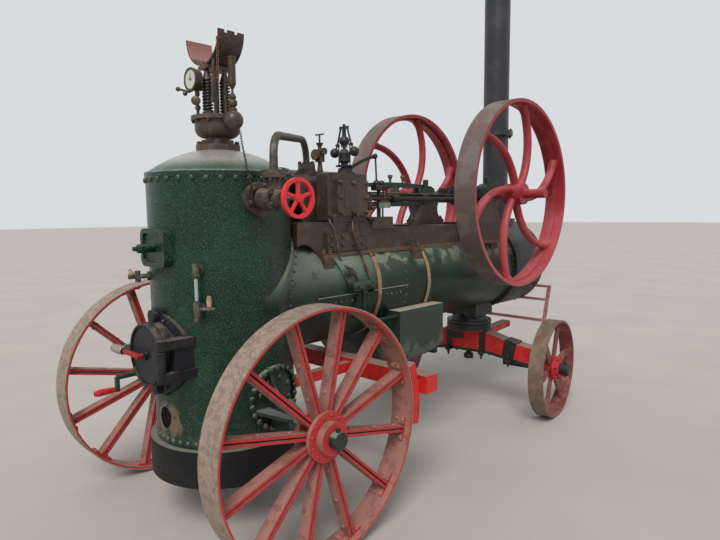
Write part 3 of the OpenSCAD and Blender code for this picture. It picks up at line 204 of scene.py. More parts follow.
def finish(name, base, worn, patch, grain, depth, least, most, metal=0.0, dust=None, dusty=0.5, specks=None,
           zones=(), over=(), gloss=0.0, shine=0.5):
    """A finish of two tones in patches, with grain, specks, dust on what faces up and other zones.

    patch, grain and the specks' size are in mm, and so is depth, how far the grain stands up. least and most
    are the roughness. Zones lie below the specks and the dust, those in over lie above both."""
    material, tree, shader = new_material(name)
    place = add(tree, "ShaderNodeTexCoord").outputs
    mottle = noise(tree, place, patch, 9.0, Roughness=0.62)
    fine = noise(tree, place, grain, 3.0)
    colour = laid(tree, step(tree, mottle, WORN_FROM, WORN_TO), hue(base), hue(worn))
    colour = tinted(tree, place, colour, zones)
    if specks:
        code, size, share = specks
        dots = step(tree, noise(tree, place, size, 2.0), share, share + SPECK_BLUR)
        colour = laid(tree, dots, colour, hue(code))
    if dust:
        up = zone(tree, place, nz=(DUST_TILT, None))
        up = sums(tree, "MULTIPLY", up, step(tree, mottle, DUST_FROM, DUST_TO))
        colour = laid(tree, sums(tree, "MULTIPLY", up, dusty), colour, hue(dust))
    colour = tinted(tree, place, colour, over)
    put = {"Base Color": vectors(tree, "SCALE", {0: colour, "Scale": ranged(tree, fine, *GRAIN_SHADE)})[0],
           "Roughness": ranged(tree, mottle, ROUGH_FROM, ROUGH_TO, least, most),
           "Normal": add(tree, "ShaderNodeBump", put={"Distance": depth / 1000, "Height": fine}).outputs[0],
           "Metallic": metal, "Specular IOR Level": shine, "Coat Weight": gloss,
           "Coat Roughness": COAT_ROUGHNESS}
    feed(tree, shader, put)
    return material


FINISHES = {
    # thick oil enamel brushed over pitted boiler plate: deep green, the glint on its pimples painted as pale
    # specks
    "hammered_green_enamel": (
        "firebox_shell handhole_cover", "#0c2a1f", "#123426", 260, 13, 3.5, 0.2, 0.36, dict(
        # the pale specks are painted highlights: the glints of the hammered paint
        gloss=0.12, shine=0.28, specks=("#44614f", 5, 0.6), dust="#5c665b",
        zones=[("#6d5f4a", dict(round=(FORE, MUD_HALO, None, 0.1), y=(None, -0.3), patch=(60, 0.44),
                                soft=0.016), 0.85),
               ("#5e4a38", dict(x=(-0.03, 0.06), y=(None, -0.3), z=(None, 0.6), patch=(60, 0.47),
                                soft=0.03), 0.6),
               ("#3f463b", dict(z=(None, 0.53), patch=(110, 0.5), soft=0.03), 0.6)],
        # brighter pale specks from 0.75 to 1.86 m high are painted glints, fading out at both ends
        over=[("#5f7868", dict(z=(0.75, 1.86), patch=(7, 0.645), soft=0.25), 0.5),
              ("#3c5548", dict(z=(1.886, None)), 0.9),
              ("#97938a", dict(z=(1.925, None), soft=0.03), 0.95),
              ("#a19c8f", dict(z=(1.94, None), patch=(200, 0.47), soft=0.02), 0.6)])),
    # the same enamel faded by rain and heat: chalky patches on top, deep green and glossy below, and a
    # painted top-lit highlight over the chalk near the shell
    "faded_green_enamel": ("boiler_barrel feed_pump", "#11271c", "#193325", 200, 6, 0.6, 0.3, 0.55, dict(
        gloss=0.1, shine=0.3,
        over=[("#4a5c4f", dict(z=(1.31, None), soft=0.1), 0.85),
              ("#7f846f", dict(z=(1.31, None), y=(0.62, None), patch=(230, 0.475), soft=0.04), 0.85),
              # pale grey-green on the top near the shell: chalk with a painted top-lit highlight
              ("#74806f", dict(z=(1.28, None), y=(None, 0.9), soft=0.1), 0.75),
              ("#24382c", dict(z=(1.25, 1.5), patch=(120, 0.56), soft=0.05), 0.8),
              ("#1d1c1b", dict(y=(2.646, None)), 1.0)])),
    # heat-proof black on the smokebox, gone grey-green with soot and rain
    "smokebox_black": ("smokebox smokebox_door", "#232724", "#363934", 180, 5, 0.5, 0.45, 0.65, dict(
        dust="#5d605a", dusty=0.7)),
    # bitumen paint on rolled chimney plate: bluish black, half gloss
    "chimney_black": ("chimney_base chimney_top", "#29292d", "#37373b", 260, 4, 0.3, 0.32, 0.5, {}),
    "ash_black": ("ash_pan", "#131315", "#1d1c1c", 90, 4, 0.45, 0.5, 0.7, dict(
        shine=0.3, dust="#3a3733", over=[("#7f7b72", dict(nz=(0.6, None), z=(0.4, None)), 0.9)])),
    # stove black on cast iron: bluish, brown dust on the ledges, the latch in red and grey
    "stove_black": ("fire_door_frame fire_door", "#1b1c21", "#27272b", 110, 4, 0.45, 0.42, 0.62, dict(
        shine=0.35, dust="#756c64", dusty=0.75,
        over=[("#a9262c", dict(x=(None, 0.02), y=(None, -0.487), z=(0.92, 1.0)), 0.95),
              ("#69756b", dict(x=(None, -0.166), y=(None, -0.4), z=(0.92, 1.0)), 0.95)])),
    # sand-cast iron under brown primer and old oil: dark chocolate, dusty on its ledges
    "brown_casting": ("engine_bed valve_chest", "#40342a", "#534335", 90, 5, 0.6, 0.38, 0.62, dict(
        dust="#7a6250", dusty=0.8, specks=("#7a6a5c", 7, 0.71),
        over=[("#6e5644", dict(z=(1.402, 1.428)), 0.55)])),
    # the same casting, deeper and oilier round the cylinder
    "oily_casting": ("cylinder", "#2d251f", "#413429", 70, 4, 0.5, 0.3, 0.5, dict(
        dust="#5d4e43", dusty=0.7)),
    "soot_iron": ("governor_stand governor_head", "#1f1e1e", "#302d2b", 40, 3, 0.3, 0.35, 0.55, dict(
        dust="#4e4944")),
    # heat-browned iron with copper-pink bloom
    "heat_brown_iron": ("safety_valve", "#43352b", "#5d4a3c", 60, 5, 0.9, 0.35, 0.55, dict(
        dust="#7b685a", dusty=0.6, specks=("#957b66", 6, 0.68),
        over=[("#9c6a62", dict(x=(None, -0.06), z=(2.5, None), nx=(0.2, None)), 0.9),
              ("#33251e", dict(x=(0.02, None), z=(2.47, None)), 0.6)])),
    # brown bronze, and red paint on the handwheel
    "valve_bronze": ("stop_valve", "#43372e", "#5b4a3d", 50, 4, 0.5, 0.32, 0.52, dict(
        dust="#8a7464", dusty=0.7, over=[("#dd2c35", dict(x=(0.677, None)), 1.0)])),
    "tan_strap": ("barrel_bands", "#96785a", "#7a6047", 60, 4, 0.3, 0.5, 0.7, dict(
        over=[("#a08a62", dict(y=(1.2, None)), 0.5)])),
    "tank_enamel": ("feed_tank", "#22352b", "#2b4034", 240, 6, 0.4, 0.32, 0.5, dict(
        zones=[("#5a5e50", dict(z=(None, 0.8), patch=(120, 0.5), soft=0.06), 0.7)],
        over=[("#b9ad9a", dict(nz=(0.9, None), z=(1.0, None)), 1.0)])),
    # dark green over cast iron, brown where the post stands and bare brass at the oil cups
    "guide_green": ("crosshead_guides", "#1f3528", "#2a4233", 60, 4, 0.3, 0.32, 0.5, dict(
        dust="#46554a", over=[("#46382d", dict(y=(1.67, None), z=(None, 1.712)), 1.0),
                              ("#6a5338", dict(z=(1.893, None)), 1.0)])),
    "bearing_green": ("main_bearings", "#1b2f24", "#274031", 50, 4, 0.3, 0.32, 0.5, dict(
        dust="#4a5648", over=[("#4a3b30", dict(z=(None, 1.745)), 1.0)])),
    "old_bronze": ("pressure_gauge whistle lubricator", "#443c31", "#564a3a", 40, 3, 0.25, 0.32, 0.5, dict(
        metal=0.3)),
    # brown bronze, and the pale glass of the water gauge
    "cock_bronze": ("water_gauge try_cock", "#4a4a3d", "#6a6758", 30, 3, 0.25, 0.35, 0.55, dict(
        metal=0.2, over=[("#9fb0a8", dict(z=(1.252, 1.358), x=(0.2, None)), 1.0)])),
    "pipe_grey": ("steam_pipe", "#46423b", "#625d54", 60, 4, 0.3, 0.38, 0.6, dict(metal=0.2)),
    "bright_steel": ("crosshead", "#77726a", "#514a42", 50, 3, 0.1, 0.28, 0.5, dict(metal=0.9)),
    # oiled steel, and red paint on the end of the shaft
    "dark_steel": ("connecting_rod valve_rod crank", "#2a2724", "#3d3832", 50, 3, 0.1, 0.3, 0.5, dict(
        metal=0.4, over=[("#a8343a", dict(x=(0.6, None)), 1.0)])),
    # flat red lead paint on cast iron, worn to bare grey-brown iron on the tread by the belt
    "flywheel_red": ("flywheel_right flywheel_left", "#982a31", "#a63d44", 150, 4, 0.3, 0.42, 0.6, dict(
        dust="#b9686a", dusty=0.4, zones=[("#c25a60", dict(z=(None, 1.62), soft=0.12), 0.45)],
        over=[("#665751", dict(round=FLY_TREAD), 0.97),
              ("#7d6f67", dict(round=FLY_TREAD, patch=(160, 0.54)), 0.6)])),
    # red paint on forged wheels: bright on the edges, brown-pink on the broad faces, chalk on the tread
    "wheel_red": ("rear_wheel_right rear_wheel_left", "#a07064", "#8a5a50", 70, 4, 0.4, 0.5, 0.7, dict(
        over=[("#b8282d", dict(nx=(0.75, None)), 0.95), ("#968375", dict(round=REAR_TREAD), 1.0),
              ("#6d564b", dict(round=REAR_TREAD, patch=(34, 0.52)), 0.45),
              ("#c2b6aa", dict(round=REAR_TREAD, patch=(8, 0.64)), 0.6)])),
    "front_wheel_red": (
        "front_wheel_right front_wheel_left", "#7a3f39", "#94605a", 70, 5, 0.6, 0.5, 0.7, dict(
        over=[("#b82a30", dict(round=(FRONT_LINE, FRONT_AXLE, None, 0.1)), 0.9),
              ("#7d6856", dict(round=FRONT_TREAD), 1.0),
              ("#5c4838", dict(round=FRONT_TREAD, patch=(60, 0.5)), 0.5),
              ("#a3988c", dict(round=FRONT_TREAD, patch=(8, 0.64)), 0.5)])),
    # red paint on a sawn oak beam, weathered to grey wood on top, black under the turntable
    "red_timber": ("brake_beam axle_bed", "#c9241d", "#b0201b", 110, 6, 0.6, 0.45, 0.62, dict(
        over=[("#8d8277", dict(nz=(0.8, None)), 0.85),
              ("#1d201e", dict(round=(UP, FRONT_AXLE, None, 0.2), z=(0.6375, None)), 1.0)])),
    "step_red": ("front_step", "#cf9091", "#b57476", 60, 4, 0.3, 0.5, 0.65, {}),
    # black forgings, with the brake's crank in red and green
    "forged_black": (
        "turntable_saddle front_axle brake_spindle", "#1d201e", "#2d2e2b", 60, 5, 0.4, 0.4, 0.6, dict(
        dust="#55554f", over=[("#d2282b", dict(y=(None, -0.388)), 0.95),
                              ("#34473b", dict(y=(-0.386, -0.2)), 0.8)])),
    "bracket_green": ("axle_brackets", "#1a2921", "#26352d", 60, 4, 0.4, 0.32, 0.52, dict(
        over=[("#848a80", dict(nz=(0.6, None)), 0.8)])),
    "rusty_bars": ("fire_grate", "#4a3026", "#6a4532", 30, 4, 0.8, 0.75, 0.9, {}),
    # rivet heads of mild steel, brushed over and rubbed bare on the crown
    "rivet_heads": ("", "#1c3a2b", "#3f5545", 25, 3, 0.2, 0.35, 0.5, dict(
        dust="#7c8072", dusty=0.6, over=[("#6b5f50", dict(z=(None, 0.6)), 0.7)])),
    # pale grey-green: on the seam and the lap a painted highlight of their edges, on the plate its own pale
    # paint
    "edge_highlight_and_pale_plate": ("", "#6d766b", "#8b9184", 60, 3, 0.2, 0.5, 0.65, {}),
    "brass": ("", "#8d7344", "#5e4c31", 30, 3, 0.15, 0.3, 0.48, dict(metal=0.85)),
    "gunmetal_brown": ("", "#4d4338", "#6a5a46", 30, 3, 0.25, 0.35, 0.55, dict(metal=0.4)),
    "copper_pipe": ("", "#53402f", "#75583f", 40, 3, 0.1, 0.35, 0.5, dict(metal=0.5)),
    "white_enamel": ("", "#c9ccc0", "#b4b8aa", 40, 3, 0.05, 0.25, 0.4, {}),
    "oiler_red": ("", "#b03a40", "#9a3136", 20, 2, 0.1, 0.3, 0.5, {}),
    "pale_timber": ("", "#a4927a", "#8c7a63", 20, 3, 0.2, 0.5, 0.7, {}),
    "hole_dark": ("", "#0b0a09", "#2a1c13", 30, 4, 0.4, 0.8, 0.95, dict(shine=0.1)),
    "grey_grip": ("", "#928c82", "#78736a", 20, 3, 0.2, 0.45, 0.65, {}),
    "red_grip": ("", "#d2282b", "#b92226", 30, 3, 0.1, 0.3, 0.5, {}),
    "hub_red": ("", "#b3292c", "#9c2c2b", 50, 4, 0.3, 0.4, 0.6, {}),
    "rusty_chain": ("", "#7a4f36", "#5a3b2a", 12, 2, 0.2, 0.5, 0.7, {}),
}


@cache
def worn_by(name):
    """The material of that finish, made once."""
    _, *plain, more = FINISHES[name]
    return finish(name, *plain, **more)


def pale_floor(colour):
    """Plain pale paving: one tone with the faintest cloud in it."""
    material, tree, shader = new_material("pale_floor")
    cloud = noise(tree, add(tree, "ShaderNodeTexCoord").outputs, FLOOR_CLOUD_MM, 4.0)
    shade = ranged(tree, cloud, 0.3, 0.7, 0.95, 1.04)
    tone = vectors(tree, "SCALE", {0: list(colour)[:3], "Scale": shade})[0]
    feed(tree, shader, {"Base Color": tone, "Roughness": 0.85})
    return material


class EngineLook(PropertyGroup):
    """The stage's colour and lights, which a user may change"""

    floor_colour: FloatVectorProperty(name="Floor", description="Colour of the plain floor", subtype="COLOR",
                                      size=4, min=0, max=1, default=hue("#b4aea6"))
    sky_level: FloatProperty(name="Sky", description="Strength of the soft sky", default=0.62, min=0)
    sun_level: FloatProperty(name="Sun", description="Strength of the soft lamp", default=2.2, min=0)


class ENGINE_OT_paint(Operator):
    """Gives every CAD node its finish"""

    bl_idname = "engine.paint"
    bl_label = "Paint The Castings"

    def execute(self, context):
        left = set(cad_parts)
        for name, (nodes, *_) in FINISHES.items():
            for node in nodes.split():
                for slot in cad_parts[node].material_slots:
                    slot.material = worn_by(name)
                left.discard(node)
        if left:
            raise RuntimeError(f"no finish for {sorted(left)}")
        return {"FINISHED"}


class ENGINE_OT_stage(Operator):
    """Makes the floor, the soft light and the camera"""

    bl_idname = "engine.stage"
    bl_label = "Set The Stage"

    def execute(self, context):
        scene, look = context.scene, context.scene.engine_look
        rim = around(FLOOR_MIDDLE, "z", FLOOR_R, 64)[0]
        floor = meshed("stage_floor", (rim, [list(range(len(rim)))]), pale_floor(look.floor_colour))
        world = bpy.data.worlds.new("soft_sky")
        world.use_nodes = True
        tree = world.node_tree
        back = tree.nodes["Background"]
        feed(tree, back, {"Color": hue("#f4f7fb"), "Strength": look.sky_level})
        seen_sky = add(tree, "ShaderNodeBackground", put={0: hue("#d9dcdf"), 1: 1.0})
        path = add(tree, "ShaderNodeLightPath").outputs
        seen = path["Is Camera Ray"]
        for other in ("Is Glossy Ray", "Is Transmission Ray"):
            seen = sums(tree, "MAXIMUM", seen, path[other])
        mix = add(tree, "ShaderNodeMixShader", put={0: seen, 1: back.outputs[0], 2: seen_sky.outputs[0]})
        feed(tree, tree.nodes["World Output"], {0: mix.outputs[0]})
        scene.world = world
        lamp = bpy.data.lights.new("soft_sun", "SUN")
        lamp.energy, lamp.angle, lamp.color = look.sun_level, SUN_SPREAD, (1.0, 0.98, 0.95)
        sun = bpy.data.objects.new("soft_sun", lamp)
        sun.rotation_euler = Vector(SUN_RAY).to_track_quat("-Z", "Y").to_euler()
        scene.collection.objects.link(sun)
        side = Vector((math.cos(HEADING), math.sin(HEADING), 0))
        level = Vector((-side.y, side.x, 0))
        ahead = math.cos(DIP) * level - math.sin(DIP) * Vector(UP)
        up = side.cross(ahead)
        across = math.cos(ROLL) * side + math.sin(ROLL) * up
        upright = math.cos(ROLL) * up - math.sin(ROLL) * side
        data = bpy.data.cameras.new("camera")
        data.sensor_width, data.lens = SENSOR_MM, SENSOR_MM * FOCUS_PX / PHOTO_WIDTH_PX
        camera = bpy.data.objects.new("camera", data)
        turn = Matrix((across, upright, -ahead)).transposed().to_4x4()
        camera.matrix_world = Matrix.Translation(CAMERA_AT) @ turn
        scene.collection.objects.link(camera)
        scene.camera = camera
        scene.view_settings.view_transform = "Standard"
        return {"FINISHED"}


# Surfaces: each is its points, as an array, and its faces
def meshed(name, part, material):
    """The part as an object at the origin, in that material."""
    points, faces = part
    mesh = bpy.data.meshes.new(name)
    mesh.from_pydata(points.tolist(), [], faces)
    mesh.update()
    mesh.shade_smooth()
    mesh.set_sharp_from_angle(angle=SHARP_EDGE)
    mesh.materials.append(material)
    made = bpy.data.objects.new(name, mesh)
    bpy.context.scene.collection.objects.link(made)
    return made


def fitted(name, finish_name, *parts, body=ROOT):
    """The parts as one piece in that finish, which rides on the body."""
    piece = meshed(name, together(*parts), worn_by(finish_name))
    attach(piece, body)


def together(*parts):
    """Several surfaces as one: their points one after another, each one's faces counted on from the last."""
    points, faces, base = [], [], 0
    for part_points, part_faces in parts:
        points.append(part_points)
        faces += [[n + base for n in face] for face in part_faces]
        base += len(part_points)
    return np.vstack(points), faces


def both_sides(*parts):
    """The parts and their mirror image: x with its sign turned, and each face turned round."""
    points, faces = together(*parts)
    return together((points, faces), (points * (-1, 1, 1), [face[::-1] for face in faces]))


def steered(*parts):
    """The parts turned with the parked fore-carriage: x and y by the cosine and sine of its angle."""
    points, faces = together(*parts)
    cos, sin = math.cos(STEER), math.sin(STEER)
    x, y, z = points.T
    return np.stack([x * cos - y * sin, x * sin + y * cos + WHEELBASE, z], 1), faces


def skin(rings, loop=False):
    """Quads between each ring and the next; fans close both ends, or the last ring meets the first."""
    rows, sides = rings.shape[:2]
    i, j = np.arange(rows if loop else rows - 1)[:, None], np.arange(sides)[None]
    after, beside = (i + 1) % rows, (j + 1) % sides
    quads = np.stack([i * sides + j, i * sides + beside, after * sides + beside, after * sides + j], -1)
    points, faces = rings.reshape(-1, 3), quads.reshape(-1, 4).tolist()
    if not loop:
        j, last = np.arange(sides), (rows - 1) * sides
        first, end = np.full(sides, rows * sides), np.full(sides, rows * sides + 1)
        points = np.vstack([points, rings[0].mean(0), rings[-1].mean(0)])
        faces += np.stack([first, (j + 1) % sides, j], 1).tolist()
        faces += np.stack([end, last + j, last + (j + 1) % sides], 1).tolist()
    return points, faces


def disc(radius, sides=12):
    """A circle: radius times the cosine and the sine of the angle."""
    angle = np.linspace(0, 2 * math.pi, sides, endpoint=False)
    return radius * np.stack([np.cos(angle), np.sin(angle)], 1)


def flat(width, height, corner=0.002):
    """A rectangle with its four corners cut off."""
    w, h, c = width / 2, height / 2, min(corner, width / 3, height / 3)
    right = [[w, c - h], [w, h - c], [w - c, h], [c - w, h]]
    return np.array(right + [[-x, -y] for x, y in right])


def square_to(ahead, up):
    """Two directions square to ahead: up with its part along ahead taken out, and their cross product."""
    ahead = ahead / np.linalg.norm(ahead, axis=-1, keepdims=True)
    rise = up - (ahead * up).sum(-1, keepdims=True) * ahead
    rise = rise / np.linalg.norm(rise, axis=-1, keepdims=True)
    return np.cross(rise, ahead), rise


def carried(path, edge, up=UP, swell=1.0, loop=False):
    """An outline carried along a path: each point is the path's, plus its two measures along the two
    directions square to the path, times swell."""
    path = np.asarray(path, float)
    ahead = np.gradient(path, axis=0)
    if loop:
        ahead = np.gradient(np.vstack([path[-1:], path, path[:1]]), axis=0)[1:-1]
    across, rise = square_to(ahead, np.broadcast_to(np.asarray(up, float), path.shape))
    swell = np.broadcast_to(np.asarray(swell, float), len(path))[:, None, None]
    spread = edge[None, :, 0, None] * across[:, None] + edge[None, :, 1, None] * rise[:, None]
    return skin(path[:, None] + swell * spread, loop)


def turned(foot, axis, profile, sides=24):
    """A profile of (height, radius) turned about an axis from a foot: the foot, plus height times the axis,
    plus radius times the cosine and sine of the angle along two directions square to it."""
    axis = np.asarray(axis, float) / np.linalg.norm(axis)
    across, rise = square_to(axis, np.array(NEAR if abs(axis[2]) > 0.7 else UP))
    height, radius = np.array(profile, float).T
    circle = disc(1.0, sides)
    spread = circle[None, :, 0, None] * across + circle[None, :, 1, None] * rise
    return skin(np.asarray(foot, float) + height[:, None, None] * axis + radius[:, None, None] * spread)


def standing(profile, sides):
    """The profile turned about +Z at the origin, to be set on feet elsewhere."""
    return turned((0, 0, 0), UP, profile, sides)


def rod(start, end, radius, sides=12):
    """A straight round rod between two points, its ends turned down to 0.8 of its radius."""
    start, end = np.array(start, float), np.array(end, float)
    length, neck = np.linalg.norm(end - start), radius * 0.8
    profile = [(0, neck), (radius - neck, radius), (length - radius + neck, radius), (length, neck)]
    return turned(start, end - start, profile, sides)


def smooth_path(knots, steps=8):
    """A Catmull-Rom curve through the knots: cubic between each two, its slope there half the span of their
    neighbours."""
    p = np.asarray(knots, float)
    p = np.vstack([2 * p[0] - p[1], p, 2 * p[-1] - p[-2]])
    t = np.linspace(0, 1, steps, endpoint=False)[None, :, None]
    a, b, c, d = (p[k : len(p) - 3 + k, None] for k in range(4))
    curve = b + 0.5 * t * (c - a + t * (2 * a - 5 * b + 4 * c - d + t * (3 * (b - c) + d - a)))
    return np.vstack([curve.reshape(-1, 3), p[-2]])


def pipe(knots, radius):
    """A round pipe along the smooth curve through its knots."""
    return carried(smooth_path(knots), disc(radius), (1, 0, 0.2))


def at_each(part, feet, ahead, up=UP):
    """The part, made at the origin along +Z, set on each foot with its Z turned ahead."""
    points, faces = part
    feet = np.atleast_2d(np.asarray(feet, float))
    ahead = np.broadcast_to(np.asarray(ahead, float), feet.shape)
    ahead = ahead / np.linalg.norm(ahead, axis=1, keepdims=True)
    up = np.broadcast_to(np.asarray(up, float), feet.shape).copy()
    # another direction takes up's place where it lies almost along ahead
    up[np.abs((ahead * up).sum(1)) > 0.95] = (0, 1, 0.3)
    across, rise = square_to(ahead, up)
    turn = np.stack([across, rise, ahead], 1)
    copies = feet[:, None] + np.einsum("pi,kij->kpj", points, turn)
    return together(*((copy, faces) for copy in copies))


def rivet(radius):
    """A low dome: its height is 0.62 of its radius times the square root of 1 less the share squared."""
    share = np.linspace(1, 0.12, 5)
    dome = [(0.62 * radius * math.sqrt(1 - s * s), s * radius) for s in share]
    return standing([(-0.3 * radius, radius)] + dome, 10)


def bolt(width, stud=0.0):
    """A washer, a six-sided nut with its top turned down, and the end of its stud."""
    rim = width * 0.62
    washer = turned((0, 0, -0.001), UP, [(0, rim), (0.003, rim), (0.0032, width * 0.5)], 12)
    nut = turned((0, 0, 0.001), UP, width * np.array([(0, 0.56), (0.62, 0.56), (0.72, 0.44)]), 6)
    if not stud:
        return together(washer, nut)
    end = [(0, width * 0.28), (width * 0.72 + stud, width * 0.28), (width * 0.76 + stud, width * 0.2)]
    return together(washer, nut, standing(end, 10))


def around(centre, axis, radius, count, start=0.0, sweep=360.0):
    """Feet and outward directions of count places on a circle about one of the three axes, in degrees."""
    angle = np.radians(start + sweep * np.arange(count) / (count if sweep == 360 else count - 1))
    c, s, o = np.cos(angle), np.sin(angle), 0 * angle
    out = np.stack({"x": (o, c, s), "y": (c, o, s), "z": (c, s, o)}[axis], 1)
    return np.asarray(centre, float) + radius * out, out


def facing(axis, degrees):
    """The outward direction at that angle about one of the three axes."""
    return around((0, 0, 0), axis, 1, 1, degrees)[1][0]


def links_along(knots, count, size):
    """A chain: oval links, long side along the smooth path, each one turned square to the last."""
    wide, long = disc(size, 16).T
    oval = np.stack([0.55 * wide, 0 * wide, long], 1)
    link = carried(oval, disc(0.15 * size, 6), FORE, loop=True)
    path = smooth_path(knots, 24)
    length = np.concatenate([[0], np.cumsum(np.linalg.norm(np.diff(path, axis=0), axis=1))])
    share = np.linspace(0, length[-1], count)
    feet = np.stack([np.interp(share, length, path[:, k]) for k in range(3)], 1)
    ups = np.where(np.arange(count)[:, None] % 2, (1.0, 0.3, 0.0), (-0.3, 1.0, 0.0))
    return at_each(link, feet, np.gradient(feet, axis=0), ups)


# Pieces
class ENGINE_OT_boiler_rivets(Operator):
    """Rivet heads in rows on the shell, the barrel and the smokebox, and the lap of the rear course"""

    bl_idname = "engine.boiler_rivets"
    bl_label = "Boiler Rivets"

    def execute(self, context):
        small = rivet(0.0098)
        fitted("shell_rivets", "rivet_heads",
               at_each(rivet(0.0165), *around((0, 0, SEAM_Z - 0.035), "z", SHELL_R, 34)),
               at_each(rivet(0.0115), *around((0, 0, 0.503), "z", SHELL_R, 50)))
        seam = around((0, 0, SEAM_Z + 0.002), "z", SHELL_R, 96)[0]
        # a pale strip round the seam: a painted highlight on its edge
        fitted("seam_edge", "edge_highlight_and_pale_plate", carried(seam, flat(0.008, 0.009), loop=True))
        # the axle brackets' plates: x is the root of the shell's radius squared less y squared
        spots = []
        for radius, count, start, out in ((0.158, 22, 8, 0.029), (0.105, 8, 30, 0.015)):
            ring = around(BRACKET, "x", radius, count, start)[0]
            ring[:, 0] = np.sqrt((SHELL_R + out) ** 2 - ring[:, 1] ** 2)
            spots.append(ring)
        spots = np.vstack(spots)
        fitted("bracket_rivets", "rivet_heads", both_sides(at_each(rivet(0.016), spots, spots * (1, 1, 0))))
        # where the barrel meets the shell: y is the root of the shell's radius squared less x squared
        spots, out = around((0, 0, BARREL_Z), "y", BARREL_R, 39, 238, -296.4)
        spots[:, 1] = np.sqrt(SHELL_R**2 - spots[:, 0] ** 2) + 0.03
        parts = [at_each(small, spots, out)]
        for y, radius, count in ((1.203, BARREL_R, 36), (1.455, COURSE_R, 46), (2.618, COURSE_R, 46)):
            parts.append(at_each(small, *around((0, y, BARREL_Z), "y", radius, count, -150, 300)))
        # below the lap: x is the root of the barrel's radius squared less the drop squared
        drop, y = 0.052, np.arange(0.452, 1.18, 0.046)
        side = np.stack([math.sqrt(BARREL_R**2 - drop**2) + 0 * y, y, BARREL_Z - drop + 0 * y], 1)
        parts.append(both_sides(at_each(small, side[np.abs(y - BAND_YS[0]) > 0.03], (1, 0, -0.15))))
        for y in (SMOKEBOX_Y0 + 0.05, SMOKEBOX_Y1 - 0.03):
            parts.append(at_each(small, *around((0, y, BARREL_Z), "y", SMOKEBOX_R, 50)))
        # round the chimney's foot: z is the root of its saddle's radius squared less x squared
        foot = around((0, CHIMNEY_Y, 0), "z", 0.162, 14)[0]
        foot[:, 2] = np.sqrt((SMOKEBOX_R + 0.02) ** 2 - foot[:, 0] ** 2)
        parts.append(at_each(small, foot + (0, 0, BARREL_Z), foot * (1, 0, 1)))
        fitted("barrel_rivets", "rivet_heads", *parts)
        lap = np.linspace((0, 0.405, 0), (0, 1.215, 0), 6) + (BARREL_R + 0.001, 0, BARREL_Z - 0.008)
        # a pale strip along the lap: a painted highlight on the plate's edge
        fitted("barrel_lap", "edge_highlight_and_pale_plate", both_sides(carried(lap, flat(0.006, 0.007, 0.001))))
        return {"FINISHED"}


class ENGINE_OT_safety_fittings(Operator):
    """Springs, nuts, dial, cocks and chains of the safety valve's stack"""

    bl_idname = "engine.safety_fittings"
    bl_label = "Safety Valve Fittings"

    def execute(self, context):
        spring_ys, turns = (-0.054, 0.054), np.linspace(0, 10 * 2 * math.pi, 240)
        height = VALVE_DECK_Z + 0.024 + 0.165 * turns / turns[-1]
        coils = [np.stack([0.025 * np.cos(turns), y + 0.025 * np.sin(turns), height], 1) for y in spring_ys]
        fitted("valve_springs", "soot_iron", *(carried(coil, disc(0.0048, 8)) for coil in coils))
        foot = around((0, 0, DOME_Z + 0.022), "z", 0.1, 8, 10)[0]
        rim = around((0, 0, VALVE_DECK_Z - 0.022), "z", 0.127, 10, 18)[0]
        caps = [(x, y, VALVE_DECK_Z + 0.261) for x in (-0.034, 0.034) for y in spring_ys]
        fitted("valve_nuts", "heat_brown_iron", at_each(bolt(0.026, 0.002), foot, UP),
               at_each(bolt(0.015, 0.003), rim, DOWN), at_each(bolt(0.02, 0.008), caps, UP))
        face = [(0, 0.0495), (0.0012, 0.0495), (0.0012, 0.0005)]
        fitted("gauge_face", "white_enamel", turned(DIAL, AFT, face, 48))
        hand = [DIAL + (0, -0.0025, z) for z in (-0.007, 0.018, 0.037)]
        hub = [(0, 0.006), (0.003, 0.006), (0.004, 0.003)]
        fitted("gauge_hand", "soot_iron", carried(hand, flat(0.003, 0.001, 0.0003), AFT, (1.6, 1.0, 0.4)),
               turned(DIAL + (0, -0.0015, 0), AFT, hub, 16))
        knob = [(0, 0.004), (0.006, 0.01), (0.014, 0.013), (0.022, 0.01), (0.027, 0.003)]
        wheel = [(0, 0.004), (0.016, 0.004), (0.017, 0.02), (0.02, 0.024), (0.025, 0.024), (0.028, 0.02),
                 (0.03, 0.004)]
        nut = [(0, 0.008), (0.002, 0.014), (0.022, 0.014), (0.024, 0.008)]
        arm = [(-0.02, -0.128, 2.318), (-0.045, -0.138, 2.31), (-0.085, -0.15, 2.322),
               (-0.108, -0.158, 2.33)]
        fitted("valve_cocks", "gunmetal_brown", pipe(arm, 0.006),
               turned((-0.062, -0.146, 2.316), (-0.3, -0.2, -1), knob, 16),
               turned((-0.104, -0.156, 2.33), (-0.9, -0.3, 0.1), knob, 16),
               rod((-0.02, -0.104, 2.255), (0.02, -0.135, 2.253), 0.009),
               turned((0.018, -0.134, 2.253), (0.75, -0.6, 0), wheel, 16),
               turned((-0.02, -0.104, 2.29), UP, nut, 6))
        hung = [(0.152, -0.082, 2.553), (0.15, -0.083, 2.46), (0.147, -0.083, 2.352)]
        fitted("rest_chain", "rusty_chain", links_along(hung, 12, 0.0125))
        fitted("rest_irons", "heat_brown_iron", rod((0.15, -0.086, 2.556), (0.156, -0.06, 2.556), 0.004),
               rod((0.085, -0.066, 2.49), (0.06, -0.066, 2.25), 0.008),
               rod((-0.055, 0.0, 2.47), (-0.046, 0.0, 2.43), 0.02))
        way = [(0.192, 0.012, 2.09), (0.245, -0.014, 2.012), (0.308, -0.045, 1.946), (0.368, -0.08, 1.9),
               (0.398, -0.09, 1.868), (0.414, -0.089, 1.8), (0.418, -0.088, 1.7), (0.402, -0.086, 1.61)]
        fitted("valve_chain", "soot_iron", links_along(way, 34, 0.0115))
        return {"FINISHED"}


